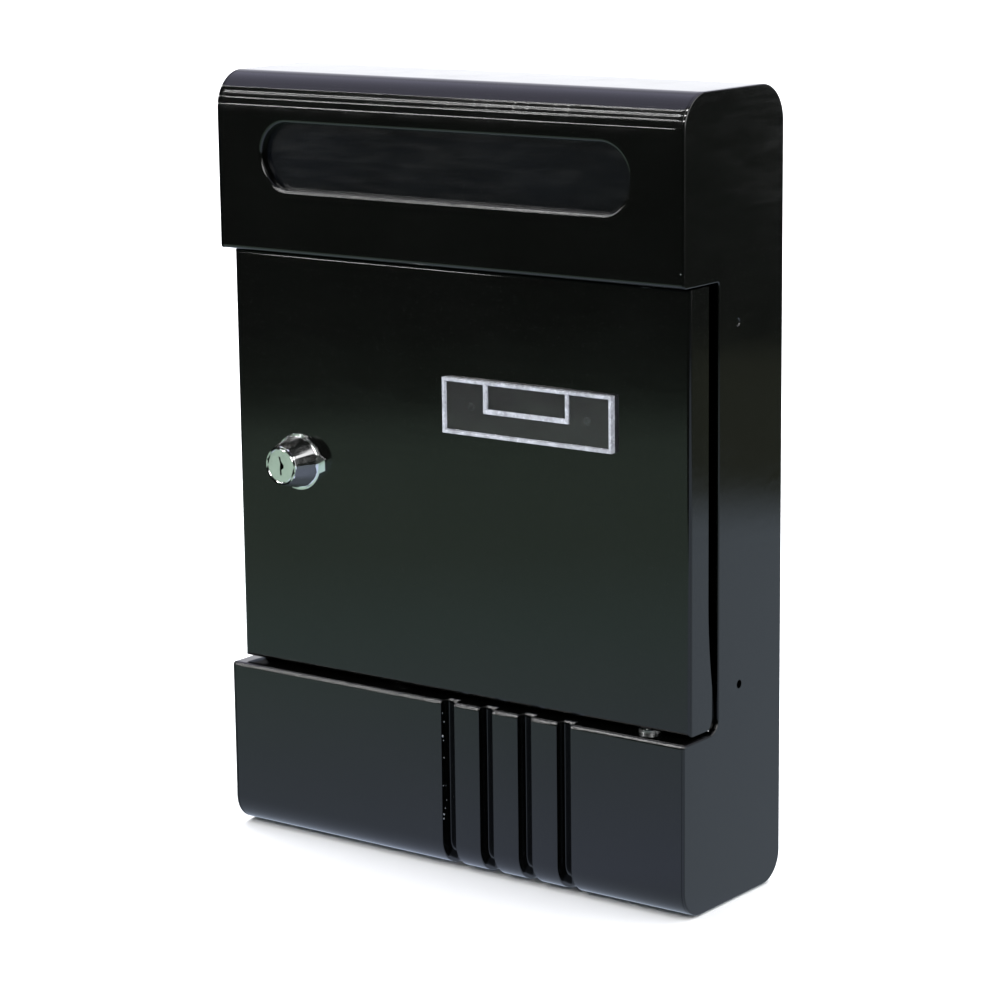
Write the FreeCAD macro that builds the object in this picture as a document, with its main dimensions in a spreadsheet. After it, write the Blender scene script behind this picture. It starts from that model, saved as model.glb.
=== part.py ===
import FreeCAD, Part
import math
import os

import Sketcher

# Wall mounted letter box: a folded steel wrap closed by two pressed end caps, a letter
# slot with an inward flap, and a side-hinged door with a cam lock and a name holder.
#
# Frame: +X to the right seen from the front, +Y into the wall, +Z up. The origin is the
# centre of the wall hole pattern, on the back face. The lock pieces are drawn in a frame
# of their own, whose +Z points out of the door, and are placed on the door's face.

DIMENSIONS = [
    ("box_width", 215.0, "over both end caps"),
    ("box_height", 300.0, "top face to bottom face"),
    ("box_depth", 65.0, "back face to the front panels"),
    ("sheet_wall", 0.8, "wrap sheet"),
    ("cap_wall", 1.0, "end cap sheet"),
    ("top_radius", 14.0, "outside of the two top bends"),
    ("bottom_radius", 11.0, "outside of the two bottom bends"),
    ("bend_radius", 1.6, "outside of every tight fold"),
    ("upper_panel", 68.0, "height of the front panel above the door"),
    ("lower_panel", 66.5, "height of the front panel below the door"),
    ("shelf_depth", 22.0, "return of both front panels, from their front face"),
    ("wall_hole_radius", 2.5, "wall screw holes"),
    ("wall_hole_across", 150.0, "spacing along X"),
    ("wall_hole_up", 200.0, "spacing along Z"),
    ("cap_flange", 10.0, "inset flange of an end cap"),
    ("notch_depth", 22.5, "end cap cut back beside the door"),
    ("notch_drop", 0.05, "notch below the lower shelf"),
    ("notch_corner", 5.5, "rounded inner corner of the notch"),
    ("cap_hole_radius", 1.6, "paint hanging hole and dimple"),
    ("cap_hole_back", 28.6, "hole to back face"),
    ("cap_hole_rise", 81.7, "hole above the bottom face"),
    ("dimple_back", 30.3, "dimple to back face"),
    ("dimple_drop", 83.8, "dimple below the top face"),
    ("dimple_depth", 0.4, "pressed into the cap"),
    ("slot_margin", 22.5, "box side to slot end, less the slot's shift"),
    ("slot_height", 25.2, "letter slot"),
    ("slot_drop", 31.0, "top face to the slot's centre line"),
    ("slot_shift", -1.0, "slot centre along X"),
    ("slot_lip", 3.6, "rolled edge, from the panel's front face"),
    ("slot_roll", 1.5, "radius of the rolled edge"),
    ("groove_first", 0.0, "centre of the left groove along X"),
    ("groove_pitch", 18.0, "between groove centres"),
    ("groove_width", 6.0, "pressed groove"),
    ("groove_depth", 4.0, "pressed groove"),
    ("door_inset", 1.5, "box side to door side"),
    ("door_recess", 6.0, "door face behind the front panels"),
    ("door_gap_low", 1.5, "lower shelf to door"),
    ("door_gap_high", 1.0, "door to upper shelf"),
    ("door_wall", 0.8, "door sheet"),
    ("door_depth", 12.0, "door flanges"),
    ("door_heel", 17.0, "bottom flange and foot of the side flanges"),
    ("heel_rise", 48.0, "where the side flanges start to deepen, above the door's bottom"),
    ("heel_corner", 3.0, "rounded foot of the side flanges"),
    ("hinge_inset", 21.5, "box side to hinge axis"),
    ("hinge_back", 10.0, "front panel face to hinge axis"),
    ("pin_radius", 2.0, "hinge pins"),
    ("pin_clearance", 0.08, "radial, in the door's flanges"),
    ("pin_head_radius", 4.0, "hinge pin heads"),
    ("pin_head_height", 1.2, "hinge pin heads"),
    ("pin_reach", 2.5, "pin past the door's flange"),
    ("washer_radius", 4.2, "hinge washers"),
    ("running_gap", 0.3, "between pieces that move past each other"),
    ("stop_inset", 55.5, "box side to the door stop's centre"),
    ("stop_width", 16.0, "door stop tab"),
    ("stop_leg", 8.0, "door stop tab below the upper shelf"),
    ("stop_foot", 3.2, "door stop tab along the shelf"),
    ("lock_inset", 32.0, "box side to lock axis"),
    ("lock_rise", 150.0, "lock axis above the bottom face"),
    ("barrel_radius", 9.0, "lock housing behind the door"),
    ("barrel_length", 18.0, "lock housing behind the door's face"),
    ("barrel_clearance", 0.1, "radial, in the door"),
    ("trim_radius", 11.0, "trim washer"),
    ("trim_wall", 0.6, "trim washer"),
    ("trim_ear", 2.4, "locating ear past the trim washer"),
    ("bezel_base_radius", 10.2, "lock housing on the trim washer"),
    ("bezel_face_radius", 7.75, "lock housing face"),
    ("bezel_rim", 1.2, "straight rim under the cone"),
    ("lock_protrusion", 11.0, "lock face in front of the door"),
    ("plug_radius", 6.5, "lock plug"),
    ("plug_clearance", 0.05, "radial, in the housing"),
    ("nut_flats", 22.0, "lock nut across flats"),
    ("nut_height", 3.0, "lock nut"),
    ("keyway_width", 2.0, "keyway"),
    ("keyway_height", 7.0, "keyway"),
    ("keyway_depth", 22.0, "keyway, from the lock's face"),
    ("wafer_first", 4.0, "lock face to the first wafer's centre"),
    ("wafer_pitch", 3.4, "between wafers"),
    ("wafer_wall", 0.8, "wafer sheet"),
    ("wafer_width", 5.0, "wafer"),
    ("wafer_length", 10.6, "wafer"),
    ("wafer_gap", 0.05, "wafer in its slot, all round"),
    ("wafer_window", 0.4, "wafer window past the keyway, all round"),
    ("spring_radius", 0.75, "wafer spring, to the wire's centre"),
    ("spring_wire", 0.15, "wafer spring wire radius"),
    ("spring_length", 4.0, "wafer spring"),
    ("spring_pitch", 0.8, "wafer spring"),
    ("spring_shift", 3.8, "wafer spring to the lock axis"),
    ("tang_side", 5.0, "square tang of the plug"),
    ("stop_washer_radius", 8.0, "quarter turn stop washer"),
    ("stop_washer_wall", 0.8, "quarter turn stop washer"),
    ("cam_wall", 1.6, "lock cam"),
    ("cam_width", 12.0, "lock cam"),
    ("cam_reach", 24.0, "lock axis to the cam's tip"),
    ("cam_washer_radius", 4.6, "cam washer"),
    ("cam_washer_wall", 0.7, "cam washer"),
    ("screw_radius", 1.9, "cam screw"),
    ("screw_depth", 8.0, "cam screw in the plug"),
    ("screw_head_radius", 3.6, "cam screw head"),
    ("screw_head_height", 2.2, "cam screw head"),
    ("strike_wall", 0.8, "lock strike"),
    ("strike_reach", 14.5, "lock strike, from the end cap"),
    ("strike_height", 22.0, "lock strike"),
    ("strike_foot", 16.0, "lock strike along the end cap"),
    ("strike_gap", 0.9, "lock strike to cam"),
    ("flap_wall", 0.6, "letter flap"),
    ("flap_overlap", 3.0, "flap past the slot, each end"),
    ("flap_drop", 36.0, "flap below its rod"),
    ("rod_radius", 1.0, "flap rod"),
    ("rod_clearance", 0.05, "radial, in the flap's curl"),
    ("rod_rise", 1.2, "rod above the foot of the top bend"),
    ("rod_overhang", 2.0, "rod past its brackets"),
    ("clip_radius", 1.7, "rod clips"),
    ("clip_wall", 0.6, "rod clips"),
    ("bracket_gap", 0.8, "flap to bracket"),
    ("bracket_wall", 1.0, "rod bracket"),
    ("bracket_foot", 5.0, "rod bracket along the panel"),
    ("bracket_depth", 6.7, "rod bracket, from the panel"),
    ("bracket_leg", 15.0, "rod bracket below the rod"),
    ("bracket_crown", 1.8, "rod bracket above the rod"),
    ("bracket_corner", 3.0, "rod bracket's round front corner"),
    ("holder_length", 76.7, "name holder"),
    ("holder_height", 21.1, "name holder"),
    ("holder_wall", 2.6, "name holder in front of the door"),
    ("holder_shift", 35.35, "name holder centre along X"),
    ("holder_rise", 169.4, "name holder above the bottom face"),
    ("holder_rim", 2.0, "name holder beside and under the card"),
    ("card_gap", 0.8, "card space"),
    ("card_cover", 0.8, "window in front of the card"),
    ("thumb_length", 39.4, "thumb notch"),
    ("thumb_depth", 12.2, "thumb notch, from the top"),
    ("peg_radius", 1.5, "name holder pegs"),
    ("peg_clearance", 0.1, "radial, in the door"),
    ("peg_inset", 12.0, "name holder end to peg"),
    ("peg_tail", 2.4, "peg behind the door's sheet"),
    ("push_nut_radius", 3.6, "push nuts"),
    ("push_nut_wall", 0.6, "push nuts"),
]

GROOVE_COUNT = 4
WAFER_COUNT = 5
NUT_SIDES = 6
SIDES = {"left": -1, "right": 1}
TOLERANCE = 1e-4

# Places that several pieces share, as expressions of the driving dimensions.
TOP = "(dims.box_height / 2)"
BOTTOM = "(-dims.box_height / 2)"
FRONT = "(-dims.box_depth)"
SIDE = "(dims.box_width / 2 - dims.cap_wall)"
LIP = f"({TOP} - dims.upper_panel)"
SHELF = f"({BOTTOM} + dims.lower_panel)"
SHELF_BACK = f"({FRONT} + dims.shelf_depth)"
DOOR_FACE = f"({FRONT} + dims.door_recess)"
DOOR_SIDE = "(dims.box_width / 2 - dims.door_inset)"
DOOR_LOW = f"({SHELF} + dims.door_gap_low)"
DOOR_HIGH = f"({LIP} - dims.door_gap_high)"
DOOR_REAR = f"({DOOR_FACE} + dims.door_depth)"
HINGE_X = "(dims.box_width / 2 - dims.hinge_inset)"
HINGE_Y = f"({FRONT} + dims.hinge_back)"
LOCK_X = "(dims.lock_inset - dims.box_width / 2)"
LOCK_Z = f"({BOTTOM} + dims.lock_rise)"
SLOT_Z = f"({TOP} - dims.slot_drop)"
SLOT_LENGTH = "(dims.box_width - 2 * dims.slot_margin)"
CURL_RADIUS = "(dims.rod_radius + dims.rod_clearance + dims.flap_wall)"
ROD_Y = f"({FRONT} + dims.sheet_wall + dims.running_gap + {CURL_RADIUS})"
ROD_Z = f"({TOP} - dims.top_radius + dims.rod_rise)"
FLAP_SIDE = f"({SLOT_LENGTH} / 2 + dims.flap_overlap)"
BRACKET_SIDE = f"({FLAP_SIDE} + dims.bracket_gap)"
HOLDER_LOW = f"({BOTTOM} + dims.holder_rise)"

# Heights in the lock's own frame: zero is the door's face, positive is outwards.
PLUG_BACK = "(-dims.barrel_length)"
STOP_WASHER_FRONT = f"({PLUG_BACK} - dims.running_gap)"
CAM_FRONT = f"({STOP_WASHER_FRONT} - dims.stop_washer_wall)"
CAM_BACK = f"({CAM_FRONT} - dims.cam_wall)"
CAM_WASHER_BACK = f"({CAM_BACK} - dims.cam_washer_wall)"

doc = FreeCAD.newDocument("letter_box")
sheet = doc.addObject("Spreadsheet::Sheet", "dims")
for row, (alias, value, note) in enumerate(DIMENSIONS, start=1):
    sheet.set(f"A{row}", alias)
    sheet.set(f"B{row}", str(value))
    sheet.set(f"C{row}", note)
    sheet.setAlias(f"B{row}", alias)
doc.recompute()


def number(expression):
    """The value of an expression of the driving dimensions, in millimetres."""
    return float(sheet.evalExpression(str(expression)))


# ---------------------------------------------------------------- sketches and features


def new_body(label):
    """An empty PartDesign body whose label is the sub-part's name."""
    body = doc.addObject("PartDesign::Body", label)
    body.Label = label
    return body


def new_sketch(body, plane, name, offset="0"):
    """A sketch on one of the body's origin planes, moved along the plane's normal."""
    sketch = body.newObject("Sketcher::SketchObject", f"{body.Name}_{name}")
    support = next(item for item in body.Origin.OriginFeatures if item.Role == plane)
    sketch.AttachmentSupport = [(support, "")]
    sketch.MapMode = "FlatFace"
    sketch.setExpression("AttachmentOffset.Base.z", offset)
    return sketch


def bind(sketch, constraint, expression):
    """Adds a driving constraint and binds it to the sheet."""
    index = sketch.addConstraint(constraint)
    sketch.setExpression(f"Constraints[{index}]", expression)


def bind_coordinate(sketch, curve, end, axis, expression):
    """Fixes the x or y of a curve's point at an expression's value."""
    axis_line, kind = (-2, "DistanceX") if axis == "x" else (-1, "DistanceY")
    value = number(expression)
    if abs(value) < TOLERANCE:
        sketch.addConstraint(Sketcher.Constraint("PointOnObject", curve, end, axis_line))
    else:
        bind(sketch, Sketcher.Constraint(kind, -1, 1, curve, end, value), expression)


def bind_point(sketch, curve, end, place):
    """Fixes a point of a curve at a place (x, y) given as expressions."""
    for axis, expression in zip("xy", place):
        bind_coordinate(sketch, curve, end, axis, expression)


def add_outline(sketch, places, arcs=None):
    """A closed outline through places, counter-clockwise; arcs[i] bends edge i.

    An arc is ("x" or "y", expression): that coordinate of its centre. The other follows.
    """
    arcs = arcs or {}
    points = [FreeCAD.Vector(number(x), number(y), 0) for x, y in places]
    ends = []
    for index, start in enumerate(points):
        finish = points[(index + 1) % len(points)]
        if index not in arcs:
            curve = sketch.addGeometry(Part.LineSegment(start, finish), False)
            ends.append((curve, 1, 2))
            continue
        centre = arc_centre(start, finish, *arcs[index])
        first, last = start - centre, finish - centre
        counter_clockwise = first.cross(last).z > -TOLERANCE
        low, high = (first, last) if counter_clockwise else (last, first)
        circle = Part.Circle(centre, FreeCAD.Vector(0, 0, 1), first.Length)
        arc = Part.ArcOfCircle(circle, math.atan2(low.y, low.x), math.atan2(high.y, high.x))
        curve = sketch.addGeometry(arc, False)
        ends.append((curve, 1, 2) if counter_clockwise else (curve, 2, 1))
    for index, (curve, start, _) in enumerate(ends):
        before, _, before_end = ends[index - 1]
        sketch.addConstraint(Sketcher.Constraint("Coincident", before, before_end, curve, start))
    for index, place in enumerate(places):
        bind_point(sketch, ends[index][0], ends[index][1], place)
    for index, (axis, expression) in arcs.items():
        bind_coordinate(sketch, ends[index][0], 3, axis, expression)


def arc_centre(start, finish, axis, expression):
    """Centre of the arc from start to finish whose x or y is the expression's value."""
    known = number(expression)
    if axis == "x":
        drop = (finish.x - known) ** 2 - (start.x - known) ** 2 + finish.y ** 2 - start.y ** 2
        return FreeCAD.Vector(known, drop / (2 * (finish.y - start.y)), 0)
    drop = (finish.y - known) ** 2 - (start.y - known) ** 2 + finish.x ** 2 - start.x ** 2
    return FreeCAD.Vector(drop / (2 * (finish.x - start.x)), known, 0)


def add_rectangle(sketch, low, high):
    """A rectangle between two corner places."""
    add_outline(sketch, [low, (high[0], low[1]), high, (low[0], high[1])])


def add_circle(sketch, place, radius):
    """A full circle about a place."""
    centre = FreeCAD.Vector(number(place[0]), number(place[1]), 0)
    circle = Part.Circle(centre, FreeCAD.Vector(0, 0, 1), number(radius))
    curve = sketch.addGeometry(circle, False)
    bind_point(sketch, curve, 3, place)
    bind(sketch, Sketcher.Constraint("Radius", curve, number(radius)), radius)


def add_stadium(sketch, centre, half_length, radius):
    """A slot shape with round ends, along the sketch's x direction."""
    x, y = centre
    left = f"{x} - ({half_length} - {radius})"
    right = f"{x} + ({half_length} - {radius})"
    low, high = f"{y} - {radius}", f"{y} + {radius}"
    places = [(left, low), (right, low), (right, high), (left, high)]
    add_outline(sketch, places, {1: ("x", right), 3: ("x", left)})


def pad(body, sketch, length, midplane=False, backwards=False):
    """Adds material on the sketch, along its normal unless backwards."""
    feature = body.newObject("PartDesign::Pad", f"{sketch.Name}_pad")
    feature.Profile = sketch
    feature.setExpression("Length", length)
    feature.Midplane = midplane
    feature.Reversed = backwards
    doc.recompute()
    return feature


def pocket(body, sketch, length, midplane=False, backwards=False):
    """Cuts the sketch out of the body, against its normal unless backwards."""
    volume_before = body.Shape.Volume
    feature = body.newObject("PartDesign::Pocket", f"{sketch.Name}_pocket")
    feature.Profile = sketch
    feature.setExpression("Length", length)
    feature.Midplane = midplane
    feature.Reversed = backwards
    doc.recompute()
    if not body.Shape.Volume < volume_before - TOLERANCE:
        raise ValueError(f"{feature.Name} cuts nothing")
    return feature


def straight_edges(feature, places):
    """Names of the feature's edges whose ends both lie at one of the places.

    A place maps axis letters to expressions, such as {"y": ..., "z": ...}.
    """
    targets = [{axis: number(text) for axis, text in place.items()} for place in places]
    names = []
    for index, edge in enumerate(feature.Shape.Edges, start=1):
        for target in targets:
            if all(
                abs(getattr(vertex.Point, axis) - value) < TOLERANCE
                for vertex in edge.Vertexes
                for axis, value in target.items()
            ):
                names.append(f"Edge{index}")
                break
    return names


def round_edges(body, places, radius):
    """Rounds the body's edges at the given places, see straight_edges."""
    base = body.Tip
    names = straight_edges(base, places)
    if not names:
        raise ValueError(f"{body.Label} has no edge to round at {places}")
    feature = body.newObject("PartDesign::Fillet", f"{body.Name}_round")
    feature.Base = (base, names)
    feature.setExpression("Radius", radius)
    doc.recompute()
    return feature


# ---------------------------------------------------------------- primitives


def box(name, x_span, y_span, z_span):
    """A block between pairs of expressions along each axis."""
    block = doc.addObject("Part::Box", name)
    spans = zip("xyz", ("Length", "Width", "Height"), (x_span, y_span, z_span))
    for axis, size, (low, high) in spans:
        block.setExpression(size, f"({high}) - ({low})")
        block.setExpression(f"Placement.Base.{axis}", low)
    return block


def cylinder(name, radius, low, high, place=("0", "0")):
    """A cylinder along Z, from low to high, about a place (x, y)."""
    rod = doc.addObject("Part::Cylinder", name)
    rod.setExpression("Radius", radius)
    rod.setExpression("Height", f"({high}) - ({low})")
    rod.setExpression("Placement.Base.x", place[0])
    rod.setExpression("Placement.Base.y", place[1])
    rod.setExpression("Placement.Base.z", low)
    return rod


def cylinder_along_x(name, radius, x_span, place):
    """A cylinder along X over a span, about a place (y, z)."""
    rod = doc.addObject("Part::Cylinder", name)
    rod.setExpression("Radius", radius)
    rod.setExpression("Height", f"({x_span[1]}) - ({x_span[0]})")
    rod.Placement.Rotation = FreeCAD.Rotation(FreeCAD.Vector(0, 1, 0), 90)
    rod.setExpression("Placement.Base.x", x_span[0])
    rod.setExpression("Placement.Base.y", place[0])
    rod.setExpression("Placement.Base.z", place[1])
    return rod


def fuse(label, shapes):
    """One solid of several overlapping or touching ones."""
    joined = doc.addObject("Part::MultiFuse", label)
    joined.Label = label
    joined.Shapes = shapes
    return joined


def cut(label, base, tool):
    """The base without the tool."""
    rest = doc.addObject("Part::Cut", label)
    rest.Label = label
    rest.Base = base
    rest.Tool = tool
    return rest


def group(label, shapes):
    """Separate solids that share one sub-part."""
    bundle = doc.addObject("Part::Compound", label)
    bundle.Label = label
    bundle.Links = shapes
    return bundle


def place_on_door(piece):
    """Turns a piece from the lock's frame to the door's face."""
    piece.Placement.Rotation = FreeCAD.Rotation(FreeCAD.Vector(1, 0, 0), 90)
    piece.setExpression("Placement.Base.x", LOCK_X)
    piece.setExpression("Placement.Base.y", DOOR_FACE)
    piece.setExpression("Placement.Base.z", LOCK_Z)
    return piece


# ---------------------------------------------------------------- housing


def add_side_outline(sketch, inset):
    """The housing's side outline with its four round bends, moved in by an inset."""
    low, high = f"{BOTTOM} + {inset}", f"{TOP} - {inset}"
    front, back = f"{FRONT} + {inset}", f"-({inset})"
    low_bend, high_bend = f"{BOTTOM} + dims.bottom_radius", f"{TOP} - dims.top_radius"
    front_low, front_high = f"{FRONT} + dims.bottom_radius", f"{FRONT} + dims.top_radius"
    back_low, back_high = "-dims.bottom_radius", "-dims.top_radius"
    places = [
        (front_low, low),
        (back_low, low),
        (back, low_bend),
        (back, high_bend),
        (back_high, high),
        (front_high, high),
        (front, high_bend),
        (front, low_bend),
    ]
    centres = {1: back_low, 3: back_high, 5: front_high, 7: front_low}
    add_outline(sketch, places, {edge: ("x", centre) for edge, centre in centres.items()})


def add_corner_band(sketch, thickness):
    """A band along the lower panel's face and round the bottom front bend."""
    bend_y = f"{FRONT} + dims.bottom_radius"
    bend_z = f"{BOTTOM} + dims.bottom_radius"
    places = [
        (FRONT, SHELF),
        (FRONT, bend_z),
        (bend_y, BOTTOM),
        (bend_y, f"{BOTTOM} + {thickness}"),
        (f"{FRONT} + {thickness}", bend_z),
        (f"{FRONT} + {thickness}", SHELF),
    ]
    add_outline(sketch, places, {1: ("x", bend_y), 3: ("x", bend_y)})


def make_body_wrap():
    """The folded strip: upper shelf, upper panel, top, back, bottom, lower panel, shelf."""
    body = new_body("body_wrap")
    width = f"2 * {SIDE}"

    solid = new_sketch(body, "YZ_Plane", "outside")
    add_side_outline(solid, "0")
    pad(body, solid, width, midplane=True)
    hollow = new_sketch(body, "YZ_Plane", "inside")
    add_side_outline(hollow, "dims.sheet_wall")
    pocket(body, hollow, width, midplane=True)

    doorway = new_sketch(body, "XZ_Plane", "doorway", offset="dims.box_depth")
    add_rectangle(doorway, (f"-{SIDE}", SHELF), (SIDE, LIP))
    pocket(body, doorway, "dims.sheet_wall")

    for name, low in (("upper_shelf", LIP), ("lower_shelf", f"{SHELF} - dims.sheet_wall")):
        shelf = new_sketch(body, "YZ_Plane", name)
        add_rectangle(shelf, (FRONT, low), (SHELF_BACK, f"{low} + dims.sheet_wall"))
        pad(body, shelf, width, midplane=True)
    add_slot_lip(body)
    for index in range(GROOVE_COUNT):
        add_groove(body, index)
    round_edges(body, [{"y": FRONT, "z": LIP}], "dims.bend_radius")
    cut_letter_slot(body)
    cut_wall_holes(body)
    cut_hinge_holes(body)
    return body


def add_slot_lip(body):
    """The ring behind the upper panel that the rolled slot edge is cut from."""
    ring = new_sketch(body, "XZ_Plane", "slot_lip", offset="dims.box_depth")
    radius = "(dims.slot_height / 2 + dims.sheet_wall)"
    half_length = f"({SLOT_LENGTH} / 2 + dims.sheet_wall)"
    add_stadium(ring, ("dims.slot_shift", SLOT_Z), half_length, radius)
    pad(body, ring, "dims.slot_lip", backwards=True)


def cut_letter_slot(body):
    """The letter slot, with its front edge rolled inwards."""
    slot = new_sketch(body, "XZ_Plane", "letter_slot", offset="dims.box_depth")
    radius = "(dims.slot_height / 2)"
    add_stadium(slot, ("dims.slot_shift", SLOT_Z), f"({SLOT_LENGTH} / 2)", radius)
    pocket(body, slot, "dims.slot_lip + dims.sheet_wall")
    base = body.Tip
    edges = [
        f"Edge{index}"
        for index, edge in enumerate(base.Shape.Edges, start=1)
        if is_slot_edge(edge)
    ]
    rolled = body.newObject("PartDesign::Fillet", "slot_roll")
    rolled.Base = (base, edges)
    rolled.setExpression("Radius", "dims.slot_roll")
    doc.recompute()


def is_slot_edge(edge):
    """Whether an edge runs round the letter slot on the panel's front face."""
    bounds = edge.BoundBox
    on_face = abs(bounds.YMin - number(FRONT)) < TOLERANCE and bounds.YLength < TOLERANCE
    half_height = number("dims.slot_height / 2") + TOLERANCE
    half_length = number(f"{SLOT_LENGTH} / 2") + TOLERANCE
    near_z = abs(bounds.Center.z - number(SLOT_Z)) < half_height
    near_x = abs(bounds.Center.x - number("dims.slot_shift")) < half_length
    return on_face and near_x and near_z


def add_groove(body, index):
    """One pressed groove down the lower panel and round its bottom bend."""
    centre = f"dims.groove_first + {index} * dims.groove_pitch"
    backing = new_sketch(body, "YZ_Plane", f"groove_back_{index}", offset=centre)
    add_corner_band(backing, "(dims.groove_depth + dims.sheet_wall)")
    pad(body, backing, "dims.groove_width + 2 * dims.sheet_wall", midplane=True)
    groove = new_sketch(body, "YZ_Plane", f"groove_{index}", offset=centre)
    add_corner_band(groove, "dims.groove_depth")
    pocket(body, groove, "dims.groove_width", midplane=True)


def cut_wall_holes(body):
    """Four screw holes in the back, about the origin."""
    holes = new_sketch(body, "XZ_Plane", "wall_holes")
    for x in ("-dims.wall_hole_across / 2", "dims.wall_hole_across / 2"):
        for z in ("-dims.wall_hole_up / 2", "dims.wall_hole_up / 2"):
            add_circle(holes, (x, z), "dims.wall_hole_radius")
    pocket(body, holes, "2 * dims.sheet_wall", backwards=True)


def cut_hinge_holes(body):
    """Holes for the hinge pins in both shelves."""
    for name, low in (("upper", LIP), ("lower", f"{SHELF} - dims.sheet_wall")):
        hole = new_sketch(body, "XY_Plane", f"{name}_pin_hole", offset=low)
        add_circle(hole, (HINGE_X, HINGE_Y), "dims.pin_radius")
        pocket(body, hole, "dims.sheet_wall", backwards=True)


def make_end_cap(side, sign):
    """A pressed end cap: a plate on the wrap's edge with a flange inside the wrap."""
    body = new_body(f"{side}_end_cap")
    inwards = sign > 0
    inner_face = f"{sign} * {SIDE}"

    plate = new_sketch(body, "YZ_Plane", "plate", offset=inner_face)
    add_side_outline(plate, "0")
    pad(body, plate, "dims.cap_wall", backwards=not inwards)
    flange = new_sketch(body, "YZ_Plane", "flange", offset=inner_face)
    add_side_outline(flange, "dims.sheet_wall")
    pad(body, flange, "dims.cap_flange", backwards=inwards)
    inside = new_sketch(body, "YZ_Plane", "flange_inside", offset=inner_face)
    add_side_outline(inside, "(dims.sheet_wall + dims.cap_wall)")
    pocket(body, inside, "dims.cap_flange", backwards=not inwards)

    notch_back = f"{FRONT} + dims.notch_depth"
    gap = new_sketch(body, "YZ_Plane", "flange_notch", offset=inner_face)
    low, high = f"{SHELF} - dims.sheet_wall", f"{LIP} + dims.sheet_wall"
    add_rectangle(gap, (FRONT, low), (notch_back, high))
    pocket(body, gap, "dims.cap_flange", backwards=not inwards)
    notch = new_sketch(body, "YZ_Plane", "notch", offset=inner_face)
    notch_low = f"{SHELF} - dims.notch_drop"
    add_rectangle(notch, (FRONT, notch_low), (notch_back, LIP))
    pocket(body, notch, "dims.cap_wall", backwards=inwards)
    round_edges(body, [{"y": notch_back, "z": notch_low}], "dims.notch_corner")
    cut_cap_marks(body, sign)
    return body


def cut_cap_marks(body, sign):
    """A small hole low on the cap and a painted-over dimple high on it."""
    hole = new_sketch(body, "YZ_Plane", "hole", offset=f"{sign} * {SIDE}")
    place = ("-dims.cap_hole_back", f"{BOTTOM} + dims.cap_hole_rise")
    add_circle(hole, place, "dims.cap_hole_radius")
    pocket(body, hole, "dims.cap_wall", backwards=sign > 0)
    dimple = new_sketch(body, "YZ_Plane", "dimple", offset=f"{sign} * dims.box_width / 2")
    place = ("-dims.dimple_back", f"{TOP} - dims.dimple_drop")
    add_circle(dimple, place, "dims.cap_hole_radius")
    pocket(body, dimple, "dims.dimple_depth", backwards=sign < 0)


def make_door_stop():
    """The folded tab under the upper shelf that the closed door rests against."""
    centre = "(dims.stop_inset - dims.box_width / 2)"
    x_span = (f"{centre} - dims.stop_width / 2", f"{centre} + dims.stop_width / 2")
    front = f"{DOOR_REAR} + dims.running_gap"
    leg_y = (front, f"{front} + dims.sheet_wall")
    foot_y = (front, f"{front} + dims.stop_foot")
    leg = box("stop_tab_leg", x_span, leg_y, (f"{LIP} - dims.stop_leg", LIP))
    foot = box("stop_tab_foot", x_span, foot_y, (f"{LIP} - dims.sheet_wall", LIP))
    return fuse("door_stop", [leg, foot])


def make_lock_strike():
    """The angle on the left end cap that the lock's cam turns behind."""
    back = f"({DOOR_FACE} - {CAM_FRONT} - dims.strike_gap)"
    front = f"{back} - dims.strike_wall"
    z_span = (f"{LOCK_Z} - dims.strike_height / 2", f"{LOCK_Z} + dims.strike_height / 2")
    lip = box("strike_lip", (f"-{SIDE}", f"dims.strike_reach - {SIDE}"), (front, back), z_span)
    foot_x = (f"-{SIDE}", f"dims.strike_wall - {SIDE}")
    foot = box("strike_foot_plate", foot_x, (front, f"{back} + dims.strike_foot"), z_span)
    return fuse("lock_strike", [lip, foot])


# ---------------------------------------------------------------- hinges


def make_hinge_pin(name, shelf_face, shelf_back, door_flange, upwards):
    """A headed pin riveted in a shelf, through the door's flange with clearance.

    shelf_face faces the door, shelf_back carries the head, door_flange is the far face
    of the door's flange; the pin stands upwards or hangs down.
    """
    sign = 1 if upwards else -1
    tip = f"{door_flange} + {sign} * dims.pin_reach"
    head_end = f"{shelf_back} - {sign} * dims.pin_head_height"
    shank_span = (shelf_back, tip) if upwards else (tip, shelf_back)
    head_span = (head_end, shelf_back) if upwards else (shelf_back, head_end)
    place = (HINGE_X, HINGE_Y)
    shank = cylinder(f"{name}_pin_shank", "dims.pin_radius", *shank_span, place)
    head = cylinder(f"{name}_pin_head", "dims.pin_head_radius", *head_span, place)
    pin = fuse(f"{name}_hinge_pin", [shank, head])
    gap_end = f"{shelf_face} + {sign} * (dims.door_gap_{'low' if upwards else 'high'}"
    gap_end = f"{gap_end} - dims.running_gap)"
    washer_span = (shelf_face, gap_end) if upwards else (gap_end, shelf_face)
    ring = cylinder(f"{name}_washer_ring", "dims.washer_radius", *washer_span, place)
    eye = cylinder(f"{name}_washer_eye", "dims.pin_radius", *washer_span, place)
    washer = cut(f"{name}_hinge_washer", ring, eye)
    return [pin, washer]


# ---------------------------------------------------------------- door


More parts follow.
